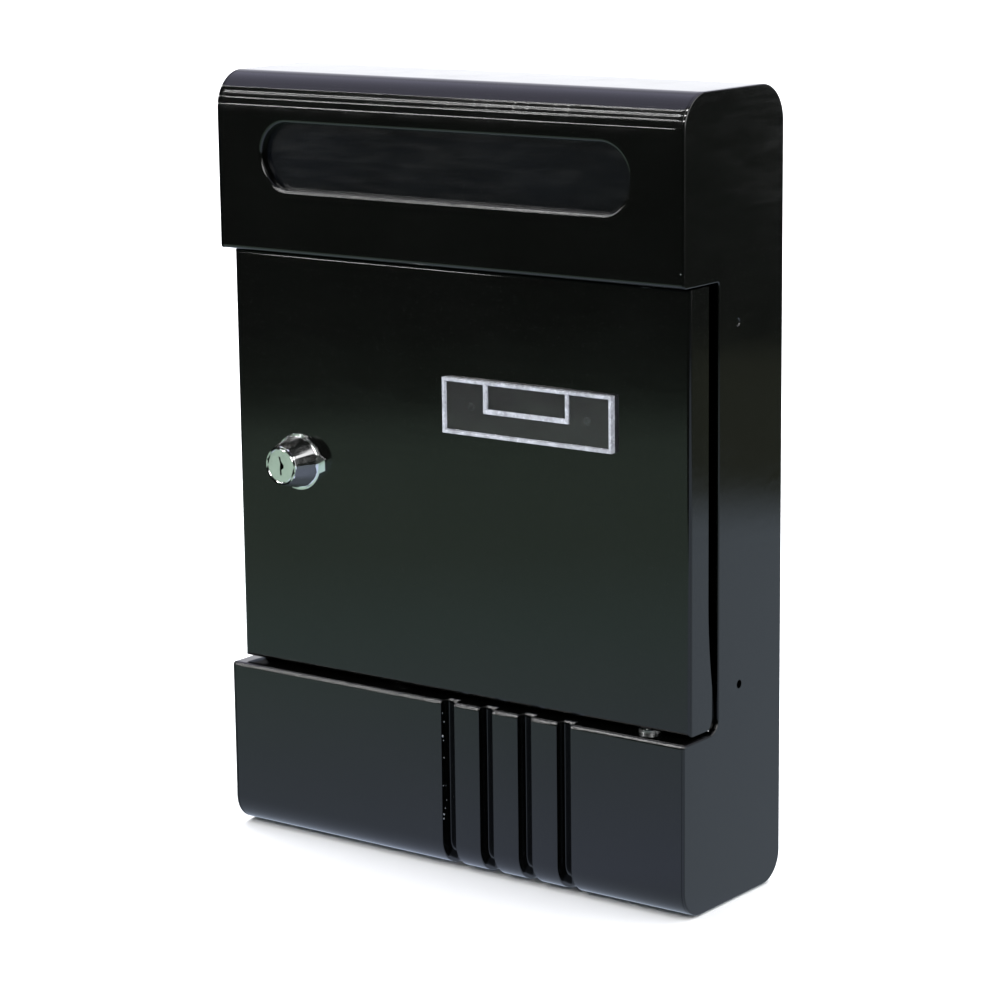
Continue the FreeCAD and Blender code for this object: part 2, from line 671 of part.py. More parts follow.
def make_door_panel():
    """The door: a shallow pan whose side flanges deepen towards the bottom."""
    body = new_body("door_panel")
    width = f"2 * {DOOR_SIDE}"
    heel_back = f"{DOOR_FACE} + dims.door_heel"

    block = new_sketch(body, "YZ_Plane", "block")
    add_rectangle(block, (DOOR_FACE, DOOR_LOW), (heel_back, DOOR_HIGH))
    pad(body, block, width, midplane=True)
    relief = new_sketch(body, "YZ_Plane", "relief")
    heel_top = f"{DOOR_LOW} + dims.heel_rise"
    heel_foot = f"{DOOR_LOW} + dims.heel_corner"
    places = [
        (DOOR_REAR, DOOR_HIGH),
        (DOOR_REAR, heel_top),
        (heel_back, heel_foot),
        (heel_back, DOOR_HIGH),
    ]
    add_outline(relief, places, {1: ("y", heel_top)})
    pocket(body, relief, width, midplane=True)
    round_edges(body, [{"y": heel_back, "z": DOOR_LOW}], "dims.heel_corner * 0.95")

    face_edges = [{"y": DOOR_FACE, "z": DOOR_LOW}, {"y": DOOR_FACE, "z": DOOR_HIGH}]
    face_edges += [{"y": DOOR_FACE, "x": f"{sign} * {DOOR_SIDE}"} for sign in SIDES.values()]
    round_edges(body, face_edges, "dims.bend_radius")
    hollow = new_sketch(body, "XZ_Plane", "hollow", offset=f"-({DOOR_FACE} + dims.door_wall)")
    low = (f"dims.door_wall - {DOOR_SIDE}", f"{DOOR_LOW} + dims.door_wall")
    high = (f"{DOOR_SIDE} - dims.door_wall", f"{DOOR_HIGH} - dims.door_wall")
    add_rectangle(hollow, low, high)
    pocket(body, hollow, "dims.door_heel")
    cut_door_holes(body)
    return body


def cut_door_holes(body):
    """Holes for the lock, the hinge pins and the name holder's pegs."""
    face = new_sketch(body, "XZ_Plane", "face_holes", offset=f"-({DOOR_FACE})")
    add_circle(face, (LOCK_X, LOCK_Z), "dims.barrel_radius + dims.barrel_clearance")
    for x, z in peg_places():
        add_circle(face, (x, z), "dims.peg_radius + dims.peg_clearance")
    pocket(body, face, "dims.door_wall")
    for name, low in (("upper", f"{DOOR_HIGH} - dims.door_wall"), ("lower", DOOR_LOW)):
        hole = new_sketch(body, "XY_Plane", f"{name}_pin_hole", offset=low)
        add_circle(hole, (HINGE_X, HINGE_Y), "dims.pin_radius + dims.pin_clearance")
        pocket(body, hole, "dims.door_wall", backwards=True)


def peg_places():
    """Places (x, z) of the name holder's two pegs."""
    reach = "(dims.holder_length / 2 - dims.peg_inset)"
    height = f"({HOLDER_LOW} + dims.holder_height / 2)"
    return [(f"dims.holder_shift + {sign} * {reach}", height) for sign in SIDES.values()]


def make_name_holder():
    """Clear moulding with a card space open at the top, a thumb notch and two pegs."""
    body = new_body("name_holder")
    left = "dims.holder_shift - dims.holder_length / 2"
    right = "dims.holder_shift + dims.holder_length / 2"
    high = f"{HOLDER_LOW} + dims.holder_height"

    plate = new_sketch(body, "XZ_Plane", "plate", offset=f"-({DOOR_FACE})")
    add_rectangle(plate, (left, HOLDER_LOW), (right, high))
    pad(body, plate, "dims.holder_wall")
    front = f"-({DOOR_FACE}) + dims.holder_wall"
    card = new_sketch(body, "XZ_Plane", "card", offset=f"{front} - dims.card_cover")
    low_corner = (f"{left} + dims.holder_rim", f"{HOLDER_LOW} + dims.holder_rim")
    add_rectangle(card, low_corner, (f"{right} - dims.holder_rim", high))
    pocket(body, card, "dims.card_gap")
    thumb = new_sketch(body, "XZ_Plane", "thumb", offset=front)
    half = "dims.thumb_length / 2"
    low_corner = (f"dims.holder_shift - {half}", f"{high} - dims.thumb_depth")
    add_rectangle(thumb, low_corner, (f"dims.holder_shift + {half}", high))
    pocket(body, thumb, "dims.card_cover")
    pegs = new_sketch(body, "XZ_Plane", "pegs", offset=f"-({DOOR_FACE})")
    for x, z in peg_places():
        add_circle(pegs, (x, z), "dims.peg_radius")
    pad(body, pegs, "dims.door_wall + dims.peg_tail", backwards=True)
    return body


def make_push_nuts():
    """Two push-on rings that hold the name holder's pegs behind the door."""
    low = f"{DOOR_FACE} + dims.door_wall"
    rings = []
    for index, (x, z) in enumerate(peg_places()):
        ring = cylinder(f"push_nut_disc_{index}", "dims.push_nut_radius", "0", "dims.push_nut_wall")
        eye = cylinder(f"push_nut_eye_{index}", "dims.peg_radius", "0", "dims.push_nut_wall")
        nut = cut(f"push_nut_{index}", ring, eye)
        nut.Placement.Rotation = FreeCAD.Rotation(FreeCAD.Vector(1, 0, 0), -90)
        nut.setExpression("Placement.Base.x", x)
        nut.setExpression("Placement.Base.y", low)
        nut.setExpression("Placement.Base.z", z)
        rings.append(nut)
    return group("name_holder_push_nuts", rings)


# ---------------------------------------------------------------- lock


def make_lock_housing():
    """The fixed housing: a conical bezel in front of the door and a barrel behind it."""
    body = new_body("lock_housing")
    profile = new_sketch(body, "XZ_Plane", "profile")
    rim_top = "dims.trim_wall + dims.bezel_rim"
    bore = "dims.plug_radius + dims.plug_clearance"
    places = [
        (bore, PLUG_BACK),
        ("dims.barrel_radius", PLUG_BACK),
        ("dims.barrel_radius", "dims.trim_wall"),
        ("dims.bezel_base_radius", "dims.trim_wall"),
        ("dims.bezel_base_radius", rim_top),
        ("dims.bezel_face_radius", "dims.lock_protrusion"),
        (bore, "dims.lock_protrusion"),
    ]
    add_outline(profile, places)
    turned = body.newObject("PartDesign::Revolution", "lock_housing_turned")
    turned.Profile = profile
    turned.ReferenceAxis = (profile, ["V_Axis"])
    turned.Angle = 360
    doc.recompute()
    return place_on_door(body)


def make_trim_washer():
    """The bright washer under the bezel, with its locating ear on the right."""
    disc = cylinder("trim_disc", "dims.trim_radius", "0", "dims.trim_wall")
    ear_x = ("0", "dims.trim_radius + dims.trim_ear")
    ear_y = ("-dims.trim_ear", "dims.trim_ear")
    ear = box("trim_ear", ear_x, ear_y, ("0", "dims.trim_wall"))
    blank = fuse("trim_blank", [disc, ear])
    eye = cylinder("trim_eye", "dims.barrel_radius", "0", "dims.trim_wall")
    return place_on_door(cut("lock_trim_washer", blank, eye))


def make_lock_nut():
    """The hexagon nut that clamps the lock to the door."""
    hexagon = doc.addObject("Part::Prism", "nut_hexagon")
    hexagon.Polygon = NUT_SIDES
    hexagon.setExpression("Circumradius", f"dims.nut_flats / 2 / cos(180 deg / {NUT_SIDES})")
    hexagon.setExpression("Height", "dims.nut_height")
    low = "-dims.door_wall - dims.nut_height"
    hexagon.setExpression("Placement.Base.z", low)
    eye = cylinder("nut_eye", "dims.barrel_radius", low, "-dims.door_wall")
    return place_on_door(cut("lock_nut", hexagon, eye))


def wafer_centre(index):
    """Height of a wafer's middle in the lock's frame."""
    return f"(dims.lock_protrusion - dims.wafer_first - {index} * dims.wafer_pitch)"


def make_lock_plug():
    """The turning plug: keyway, wafer slots, spring pockets, square tang, screw hole."""
    body = new_body("lock_plug")
    disc = new_sketch(body, "XY_Plane", "disc", offset=PLUG_BACK)
    add_circle(disc, ("0", "0"), "dims.plug_radius")
    pad(body, disc, "dims.lock_protrusion + dims.barrel_length")
    tang = new_sketch(body, "XY_Plane", "tang", offset=CAM_BACK)
    corner = "dims.tang_side / 2"
    add_rectangle(tang, (f"-{corner}", f"-{corner}"), (corner, corner))
    pad(body, tang, f"{PLUG_BACK} - {CAM_BACK}")
    keyway = new_sketch(body, "XY_Plane", "keyway", offset="dims.lock_protrusion")
    reach = ("dims.keyway_width / 2", "dims.keyway_height / 2")
    add_rectangle(keyway, (f"-{reach[0]}", f"-{reach[1]}"), reach)
    pocket(body, keyway, "dims.keyway_depth")
    for index in range(WAFER_COUNT):
        cut_wafer_seat(body, index)
    hole = new_sketch(body, "XY_Plane", "screw_hole", offset=CAM_BACK)
    add_circle(hole, ("0", "0"), "dims.screw_radius")
    pocket(body, hole, "dims.screw_depth", backwards=True)
    return place_on_door(body)


def cut_wafer_seat(body, index):
    """A slot right through the plug for a wafer, and a pocket beside it for its spring."""
    centre = wafer_centre(index)
    slot = new_sketch(body, "XY_Plane", f"wafer_slot_{index}", offset=centre)
    half_x = "(dims.wafer_width / 2 + dims.wafer_gap)"
    half_y = "(dims.wafer_length / 2 + dims.wafer_gap)"
    add_rectangle(slot, (f"-{half_x}", f"-{half_y}"), (half_x, half_y))
    pocket(body, slot, "dims.wafer_wall + 2 * dims.wafer_gap", midplane=True)
    seat = new_sketch(body, "XZ_Plane", f"spring_seat_{index}")
    radius = "dims.spring_radius + dims.spring_wire + dims.wafer_gap"
    add_circle(seat, ("dims.spring_shift", centre), radius)
    pocket(body, seat, "dims.spring_length + 2 * dims.wafer_gap", midplane=True)


def make_wafers():
    """The brass wafers, each with a window that the key passes through."""
    wafers = []
    half_x = "dims.wafer_width / 2"
    half_y = "dims.wafer_length / 2"
    window_x = "(dims.keyway_width / 2 + dims.wafer_window)"
    window_y = "(dims.keyway_height / 2 + dims.wafer_window)"
    for index in range(WAFER_COUNT):
        centre = wafer_centre(index)
        z_span = (f"{centre} - dims.wafer_wall / 2", f"{centre} + dims.wafer_wall / 2")
        spans = ((f"-{half_x}", half_x), (f"-{half_y}", half_y), z_span)
        blank = box(f"wafer_blank_{index}", *spans)
        spans = ((f"-{window_x}", window_x), (f"-{window_y}", window_y), z_span)
        window = box(f"wafer_window_{index}", *spans)
        wafers.append(cut(f"wafer_{index}", blank, window))
    return place_on_door(group("lock_wafers", wafers))


def make_wafer_springs():
    """One small coil spring beside each wafer."""
    radius, wire = number("dims.spring_radius"), number("dims.spring_wire")
    length, pitch = number("dims.spring_length"), number("dims.spring_pitch")
    coil_height = length - 2 * wire
    coils = []
    for index in range(WAFER_COUNT):
        path = Part.makeHelix(pitch, coil_height, radius)
        start = path.Vertexes[0].Point
        circle = Part.Circle(start, FreeCAD.Vector(0, 1, 0), wire)
        section = Part.Wire([circle.toShape()])
        coil = Part.Wire(path.Edges).makePipeShell([section], True, True)
        coil.rotate(FreeCAD.Vector(), FreeCAD.Vector(1, 0, 0), 90)
        across, along = number("dims.spring_shift"), number(wafer_centre(index))
        coil.translate(FreeCAD.Vector(across, coil_height / 2, along))
        coils.append(coil)
    springs = doc.addObject("Part::Feature", "wafer_springs")
    springs.Label = "wafer_springs"
    springs.Shape = Part.makeCompound(coils)
    return place_on_door(springs)


def square_hole(name, low, high):
    """The block that cuts a square hole for the plug's tang."""
    side = ("-dims.tang_side / 2", "dims.tang_side / 2")
    return box(name, side, side, (low, high))


def make_stop_washer():
    """The washer that limits the plug to a quarter turn, with its two stop lobes."""
    disc = cylinder("stop_disc", "dims.stop_washer_radius", CAM_FRONT, STOP_WASHER_FRONT)
    cut_x = ("dims.tang_side", "dims.stop_washer_radius")
    cut_y = ("0", "dims.stop_washer_radius")
    quarter = box("stop_quarter", cut_x, cut_y, (CAM_FRONT, STOP_WASHER_FRONT))
    blank = cut("stop_blank", disc, quarter)
    hole = square_hole("stop_hole", CAM_FRONT, STOP_WASHER_FRONT)
    return place_on_door(cut("stop_washer", blank, hole))


def make_lock_cam():
    """The cam: a flat arm hanging down when the lock is open."""
    body = new_body("lock_cam")
    arm = new_sketch(body, "XY_Plane", "arm", offset=CAM_BACK)
    half = "(dims.cam_width / 2)"
    tip = f"-dims.cam_reach + {half}"
    places = [(half, "0"), (f"-{half}", "0"), (f"-{half}", tip), (half, tip)]
    add_outline(arm, places, {0: ("y", "0"), 2: ("y", tip)})
    pad(body, arm, "dims.cam_wall")
    hole = new_sketch(body, "XY_Plane", "hole", offset=CAM_BACK)
    corner = "dims.tang_side / 2"
    add_rectangle(hole, (f"-{corner}", f"-{corner}"), (corner, corner))
    pocket(body, hole, "dims.cam_wall", backwards=True)
    return place_on_door(body)


def make_cam_washer():
    """The washer under the cam screw's head."""
    disc = cylinder("cam_washer_disc", "dims.cam_washer_radius", CAM_WASHER_BACK, CAM_BACK)
    eye = cylinder("cam_washer_eye", "dims.screw_radius", CAM_WASHER_BACK, CAM_BACK)
    return place_on_door(cut("cam_washer", disc, eye))


def make_cam_screw():
    """The screw that holds the cam on the plug's tang."""
    tip = f"{CAM_BACK} + dims.screw_depth"
    head_back = f"{CAM_WASHER_BACK} - dims.screw_head_height"
    shank = cylinder("cam_screw_shank", "dims.screw_radius", CAM_WASHER_BACK, tip)
    head = cylinder("cam_screw_head", "dims.screw_head_radius", head_back, CAM_WASHER_BACK)
    return place_on_door(fuse("cam_screw", [shank, head]))


# ---------------------------------------------------------------- letter flap


def make_letter_flap():
    """The flap: a sheet curled round its rod, hanging behind the letter slot."""
    body = new_body("letter_flap")
    width = f"2 * {FLAP_SIDE}"
    curl = new_sketch(body, "YZ_Plane", "curl", offset="dims.slot_shift")
    add_circle(curl, (ROD_Y, ROD_Z), CURL_RADIUS)
    pad(body, curl, width, midplane=True)
    sheet_back = f"{ROD_Y} + {CURL_RADIUS}"
    plate = new_sketch(body, "YZ_Plane", "plate", offset="dims.slot_shift")
    low = (f"{sheet_back} - dims.flap_wall", f"{ROD_Z} - dims.flap_drop")
    add_rectangle(plate, low, (sheet_back, ROD_Z))
    pad(body, plate, width, midplane=True)
    bore = new_sketch(body, "YZ_Plane", "bore", offset="dims.slot_shift")
    add_circle(bore, (ROD_Y, ROD_Z), "dims.rod_radius + dims.rod_clearance")
    pocket(body, bore, width, midplane=True)
    return body


def make_flap_bracket(side, sign):
    """An angle on the back of the upper panel that carries one end of the flap's rod."""
    body = new_body(f"{side}_flap_bracket")
    panel_back = f"{FRONT} + dims.sheet_wall"
    crown, foot_end = f"{ROD_Z} + dims.bracket_crown", f"{ROD_Z} - dims.bracket_leg"
    inner = f"dims.slot_shift + {sign} * {BRACKET_SIDE}"
    ear = new_sketch(body, "YZ_Plane", "ear", offset=inner)
    add_rectangle(ear, (panel_back, foot_end), (f"{panel_back} + dims.bracket_depth", crown))
    pad(body, ear, "dims.bracket_wall", backwards=sign < 0)
    round_edges(body, [{"y": panel_back, "z": crown}], "dims.bracket_corner")
    foot = new_sketch(body, "YZ_Plane", "foot", offset=inner)
    foot_top = f"{ROD_Z} - dims.bracket_corner"
    add_rectangle(foot, (panel_back, foot_end), (f"{panel_back} + dims.bracket_wall", foot_top))
    pad(body, foot, "dims.bracket_wall + dims.bracket_foot", backwards=sign < 0)
    hole = new_sketch(body, "YZ_Plane", "rod_hole", offset=inner)
    add_circle(hole, (ROD_Y, ROD_Z), "dims.rod_radius")
    pocket(body, hole, "dims.bracket_wall", backwards=sign > 0)
    return body


def rod_end():
    """Distance from the slot's centre to the rod's end."""
    return f"({BRACKET_SIDE} + dims.bracket_wall + dims.rod_overhang)"


def make_flap_rod():
    """The steel rod that the flap swings on, fixed in both brackets."""
    x_span = (f"dims.slot_shift - {rod_end()}", f"dims.slot_shift + {rod_end()}")
    rod = cylinder_along_x("flap_hinge_rod", "dims.rod_radius", x_span, (ROD_Y, ROD_Z))
    rod.Label = "flap_hinge_rod"
    return rod


def make_rod_clips():
    """Two spring clips on the rod, outside the brackets."""
    clips = []
    near = f"({BRACKET_SIDE} + dims.bracket_wall)"
    far = f"({near} + dims.clip_wall)"
    for side, sign in SIDES.items():
        inner, outer = (near, far) if sign > 0 else (f"-{far}", f"-{near}")
        x_span = (f"dims.slot_shift + {inner}", f"dims.slot_shift + {outer}")
        disc = cylinder_along_x(f"{side}_clip_disc", "dims.clip_radius", x_span, (ROD_Y, ROD_Z))
        eye = cylinder_along_x(f"{side}_clip_eye", "dims.rod_radius", x_span, (ROD_Y, ROD_Z))
        clips.append(cut(f"{side}_rod_clip", disc, eye))
    return group("rod_clips", clips)


# ---------------------------------------------------------------- the whole box


def make_all():
    """Every sub-part, in the order in which the box is put together."""
    lower_flange = f"({DOOR_LOW} + dims.door_wall)"
    upper_flange = f"({DOOR_HIGH} - dims.door_wall)"
    pieces = [make_body_wrap()]
    pieces += [make_end_cap(side, sign) for side, sign in SIDES.items()]
    pieces += [make_door_stop(), make_lock_strike()]
    pieces += make_hinge_pin("upper", LIP, f"({LIP} + dims.sheet_wall)", upper_flange, False)
    pieces += make_hinge_pin("lower", SHELF, f"({SHELF} - dims.sheet_wall)", lower_flange, True)
    pieces += [make_door_panel(), make_name_holder(), make_push_nuts()]
    pieces += [make_lock_housing(), make_trim_washer(), make_lock_nut()]
    pieces += [make_lock_plug(), make_wafers(), make_wafer_springs(), make_stop_washer()]
    pieces += [make_lock_cam(), make_cam_washer(), make_cam_screw()]
    pieces += [make_letter_flap(), make_flap_rod(), make_rod_clips()]
    pieces += [make_flap_bracket(side, sign) for side, sign in SIDES.items()]
    return pieces


def check(pieces):
    """Stops unless every object computed and every sub-part has a valid solid."""
    for item in doc.Objects:
        if {"Invalid", "Error"} & set(item.State):
            raise ValueError(f"{item.Name} failed: {item.State}")
    for piece in pieces:
        shape = piece.Shape
        if shape.isNull() or not shape.isValid() or not shape.Solids:
            raise ValueError(f"{piece.Label} has no valid solid")
        if any(solid.Volume <= 0 for solid in shape.Solids):
            raise ValueError(f"{piece.Label} has a solid turned inside out")


pieces = make_all()
doc.recompute()
check(pieces)
os.makedirs("parts", exist_ok=True)
for piece in pieces:
    piece.Shape.exportStep(os.path.join("parts", f"{piece.Label}.step"))
    print(f"{piece.Label}: {len(piece.Shape.Solids)} solid(s), {piece.Shape.Volume:.1f} mm3")
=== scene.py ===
"""Wall mounted mailbox of folded black enamelled sheet: the visual model round its CAD frame."""

import logging
import math
from dataclasses import dataclass
from enum import Enum
from typing import Callable, Iterable, Sequence

import bmesh
import bpy
from mathutils import Matrix, Vector


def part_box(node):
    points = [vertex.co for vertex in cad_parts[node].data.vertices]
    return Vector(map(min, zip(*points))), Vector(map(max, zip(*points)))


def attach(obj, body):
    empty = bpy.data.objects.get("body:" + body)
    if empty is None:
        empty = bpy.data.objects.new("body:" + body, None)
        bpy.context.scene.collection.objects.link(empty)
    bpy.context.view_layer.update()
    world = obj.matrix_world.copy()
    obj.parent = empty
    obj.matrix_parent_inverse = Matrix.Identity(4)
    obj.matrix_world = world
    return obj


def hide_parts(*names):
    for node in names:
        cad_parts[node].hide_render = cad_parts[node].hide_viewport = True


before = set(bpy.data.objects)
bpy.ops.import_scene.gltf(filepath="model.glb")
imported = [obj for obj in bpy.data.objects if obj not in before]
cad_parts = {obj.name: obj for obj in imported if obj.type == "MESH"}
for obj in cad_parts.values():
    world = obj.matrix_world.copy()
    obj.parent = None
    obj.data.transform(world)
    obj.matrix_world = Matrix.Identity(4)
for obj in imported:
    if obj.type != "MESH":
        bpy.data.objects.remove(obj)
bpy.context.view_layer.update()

BMesh, BMEdge, BMFace, BMVert = bmesh.types.BMesh, bmesh.types.BMEdge, bmesh.types.BMFace, bmesh.types.BMVert
Socket = bpy.types.NodeSocket
Object, Material = bpy.types.Object, bpy.types.Material
Colour = tuple[float, float, float]
Glow = tuple[tuple[float, Colour], ...]

MM = 0.001
X_AXIS, Y_AXIS, Z_AXIS = Vector((1, 0, 0)), Vector((0, 1, 0)), Vector((0, 0, 1))
WELD = 0.002 * MM

log = logging.getLogger("mailbox")


class Body(Enum):
    """The moving bodies of the frame."""

    HOUSING = "housing"
    DOOR = "door"
    LOCK = "lock_cylinder"
    FLAP = "flap"


class Slot(Enum):
    """The record's material slots."""

    ENAMEL = "black_enamel"
    FLAP = "flap_enamel"
    CHROME = "chrome"
    ZINC = "zinc_plate"
    SPRING = "spring_steel"
    BRASS = "brass"
    CLEAR = "clear_plastic"


class Side(Enum):
    """The two ends of the housing, with the sign of their X."""

    LEFT = -1
    RIGHT = 1


# ---------------------------------------------------------------- finishes


class Graph:
    """Shorthand for one material's node tree round a Principled shader."""

    def __init__(self, name: str) -> None:
        """Start a material.

        Args:
            name: The material's name.
        """
        self.material = bpy.data.materials.new(name)
        self.material.use_nodes = True
        self.tree = self.material.node_tree
        self.shader = self.tree.nodes["Principled BSDF"]
        self.place = self.node("ShaderNodeTexCoord").outputs["Object"]

    def node(self, kind: str, **values: object) -> bpy.types.Node:
        """Add a node.

        Args:
            kind: The node's type name.
            values: Its properties and, by their lower-case names, its inputs.

        Returns:
            The new node.
        """
        made = self.tree.nodes.new(kind)
        inputs = {socket.name.lower().replace(" ", "_"): socket for socket in reversed(made.inputs)}
        for key, value in values.items():
            if isinstance(value, Socket):
                self.tree.links.new(value, inputs[key])
            elif key in inputs and not hasattr(type(made), key):
                inputs[key].default_value = value
            else:
                setattr(made, key, value)
        return made

    def set(self, **values: object) -> None:
        """Set or link the shader's own sockets.

        Args:
            values: Numbers, colours or sockets by the sockets' lower-case names.
        """
        inputs = {s.name.lower().replace(" ", "_"): s for s in self.shader.inputs}
        for key, value in values.items():
            if isinstance(value, Socket):
                self.tree.links.new(value, inputs[key])
            else:
                inputs[key].default_value = value

    def stretched(self, scale: Sequence[float]) -> Socket:
        """The object's coordinates, stretched.

        Args:
            scale: Factors along X, Y and Z.

        Returns:
            The vector socket.
        """
        return self.node("ShaderNodeMapping", vector=self.place, scale=scale).outputs[0]

    def noise(self, scale: float, detail: float = 3.0, vector: Socket | None = None) -> Socket:
        """A noise value.

        Args:
            scale: Features per metre.
            detail: Octaves.
            vector: Where it is read, or the object's coordinates.

        Returns:
            The value socket.
        """
        made = self.node("ShaderNodeTexNoise", vector=vector or self.place, scale=scale, detail=detail)
        return made.outputs[0]

    def ramp(self, value: Socket, low: float, high: float, first: object, last: object) -> Socket:
        """A value spread between two numbers or colours.

        Args:
            value: The value socket.
            low: Where the ramp starts.
            high: Where it ends.
            first: The number or colour at its start.
            last: The number or colour at its end.

        Returns:
            A value or colour socket.
        """
        if isinstance(first, (int, float)):
            ends = {"from_min": low, "from_max": high, "to_min": first, "to_max": last}
            return self.node("ShaderNodeMapRange", value=value, **ends).outputs[0]
        made = self.node("ShaderNodeValToRGB", fac=value)
        for element, where, colour in zip(made.color_ramp.elements, (low, high), (first, last)):
            element.position, element.color = where, (*colour, 1.0)
        return made.outputs[0]

    def bump(self, height: Socket, distance: float, under: Socket | None = None) -> Socket:
        """A bump.

        Args:
            height: The height socket, from 0 to 1.
            distance: The height of 1, in metres.
            under: A bump that it lies on.

        Returns:
            The normal socket.
        """
        made = self.node("ShaderNodeBump", strength=1.0, distance=distance, height=height)
        if under is not None:
            self.tree.links.new(under, made.inputs["Normal"])
        return made.outputs[0]


@dataclass(frozen=True)
class Enamel:
    """Sprayed and baked gloss enamel on sheet steel."""

    name: str = "black_enamel_gloss"
    dark: Colour = (0.0004, 0.0005, 0.0004)
    pale: Colour = (0.0011, 0.0012, 0.0011)
    roughness: tuple[float, float] = (0.07, 0.13)
    peel: float = 0.006 * MM
    wave: float = 0.030 * MM

    def make(self) -> Material:
        """Make the material: cloudy black, orange peel, sheet waves, dust and fine rubs."""
        g = Graph(self.name)
        cloud = g.noise(22.0, 4.0)
        g.set(base_color=g.ramp(cloud, 0.3, 0.7, self.dark, self.pale))
        rub = g.noise(60.0, 5.0, g.stretched((1.0, 1.0, 6.0)))
        dust = g.noise(2400.0, 2.0)
        specks = g.ramp(dust, 0.68, 0.74, 0.0, 0.25)
        gloss = g.ramp(rub, 0.35, 0.75, *self.roughness)
        both = g.node("ShaderNodeMath", operation="ADD", use_clamp=True)
        g.tree.links.new(gloss, both.inputs[0])
        g.tree.links.new(specks, both.inputs[1])
        waves = g.bump(g.noise(13.0, 1.0), self.wave)
        peel = g.bump(g.noise(620.0, 2.0), self.peel, waves)
        g.set(normal=g.bump(g.noise(2600.0, 1.0), self.peel * 0.25, peel))
        g.set(roughness=both.outputs[0], ior=1.5)
        return g.material


@dataclass(frozen=True)
class Plated:
    """A plated metal, from mirror chrome to dull zinc."""

    name: str
    colour: Colour
    shade: Colour
    roughness: tuple[float, float]
    grain: float
    scale: float = 900.0
    stretch: tuple[float, float, float] = (1.0, 1.0, 1.0)

    def make(self) -> Material:
        """Make the material: a tinted metal with cloudy gloss and a fine grain."""
        g = Graph(self.name)
        where = g.stretched(self.stretch)
        cloud = g.noise(self.scale * 0.25, 4.0, where)
        g.set(base_color=g.ramp(cloud, 0.3, 0.7, self.shade, self.colour), metallic=1.0)
        g.set(roughness=g.ramp(g.noise(self.scale * 0.6, 3.0, where), 0.3, 0.7, *self.roughness))
        g.set(normal=g.bump(g.noise(self.scale, 3.0, where), self.grain))
        return g.material


@dataclass(frozen=True)
class ClearPlastic:
    """Clear moulded plastic with flow lines and fine scuffs."""

    name: str = "clear_plastic_moulded"
    tint: Colour = (0.90, 0.93, 0.96)

    def make(self) -> Material:
        """Make the material: transmissive, faintly milky, with slow ripples."""
        g = Graph(self.name)
        g.set(base_color=g.ramp(g.noise(120.0, 2.0), 0.3, 0.7, self.tint, (0.97, 0.98, 1.0)))
        g.set(transmission_weight=0.98, ior=1.49)
        g.set(roughness=g.ramp(g.noise(500.0, 4.0), 0.4, 0.75, 0.03, 0.16))
        ripples = g.bump(g.noise(70.0, 1.5), 0.10 * MM)
        g.set(normal=g.bump(g.noise(900.0, 2.0), 0.004 * MM, ripples))
        return g.material


@dataclass(frozen=True)
class PaintedEdgeHighlight:
    """The edges of a clear moulding: a pale colour painted on as the highlight they catch, over uneven
    scuffs.
    """

    name: str = "clear_plastic_edge"
    # pale colour that paints the edges' highlight
    colour: Colour = (0.52, 0.54, 0.60)

    def make(self) -> Material:
        """Make the material: a mostly milky painted highlight, unevenly scuffed."""
        g = Graph(self.name)
        dull = tuple(0.6 * c for c in self.colour)
        g.set(base_color=g.ramp(g.noise(260.0, 4.0), 0.35, 0.65, dull, self.colour))
        g.set(roughness=g.ramp(g.noise(700.0, 3.0), 0.3, 0.7, 0.12, 0.35), transmission_weight=0.15, ior=1.49)
        g.set(normal=g.bump(g.noise(900.0, 2.0), 0.004 * MM))
        return g.material


@dataclass(frozen=True)
class Paper:
    """The studio's matt pale floor."""

    name: str
    colour: Colour = (0.86, 0.87, 0.88)

    def make(self) -> Material:
        """Make the material."""
        g = Graph(self.name)
        faint = tuple(0.985 * c for c in self.colour)
        g.set(base_color=g.ramp(g.noise(3.0, 2.0), 0.3, 0.7, faint, self.colour))
        g.set(roughness=0.9, specular_ior_level=0.0)
        return g.material


ENAMEL = Enamel()
FLAP_ENAMEL = Enamel(
    "flap_enamel_satin", (0.0012, 0.0016, 0.0022), (0.0026, 0.0032, 0.0046), (0.15, 0.24), 0.008 * MM
)
CHROME = Plated("chrome_plate", (0.92, 0.92, 0.93), (0.84, 0.85, 0.86), (0.05, 0.14), 0.003 * MM, 700.0)
ZINC = Plated("zinc_plate_bright", (0.72, 0.73, 0.74), (0.55, 0.56, 0.56), (0.22, 0.42), 0.006 * MM)
SPRING = Plated("spring_steel_oiled", (0.50, 0.49, 0.47), (0.36, 0.35, 0.34), (0.24, 0.38), 0.004 * MM)
BRASS = Plated("brass_stamped", (0.80, 0.58, 0.27), (0.66, 0.45, 0.19), (0.18, 0.34), 0.004 * MM, 1200.0)
CLEAR = ClearPlastic()
PAINTED_EDGE_HIGHLIGHT = PaintedEdgeHighlight()


class Paintshop:
    """Makes each finish once and hands it out by its slot."""

    finishes = {
        Slot.ENAMEL: ENAMEL,
        Slot.FLAP: FLAP_ENAMEL,
        Slot.CHROME: CHROME,
        Slot.ZINC: ZINC,
        Slot.SPRING: SPRING,
        Slot.BRASS: BRASS,
        Slot.CLEAR: CLEAR,
    }

    def __init__(self) -> None:
        """Make every finish."""
        self.materials = {slot: finish.make() for slot, finish in self.finishes.items()}

    def __getitem__(self, slot: Slot) -> Material:
        """The material of a slot."""
        return self.materials[slot]


# ---------------------------------------------------------------- mesh tools


def to_object(name: str, mesh: BMesh, material: Material) -> Object:
    """Turn a bmesh into an object of the scene.

    Args:
        name: The object's name.
        mesh: Its geometry, in place; it is freed.
        material: Its finish.

    Returns:
        The object.
    """
    data = bpy.data.meshes.new(name)
    mesh.to_mesh(data)
    mesh.free()
    data.materials.append(material)
    made = bpy.data.objects.new(name, data)
    bpy.context.scene.collection.objects.link(made)
    return made


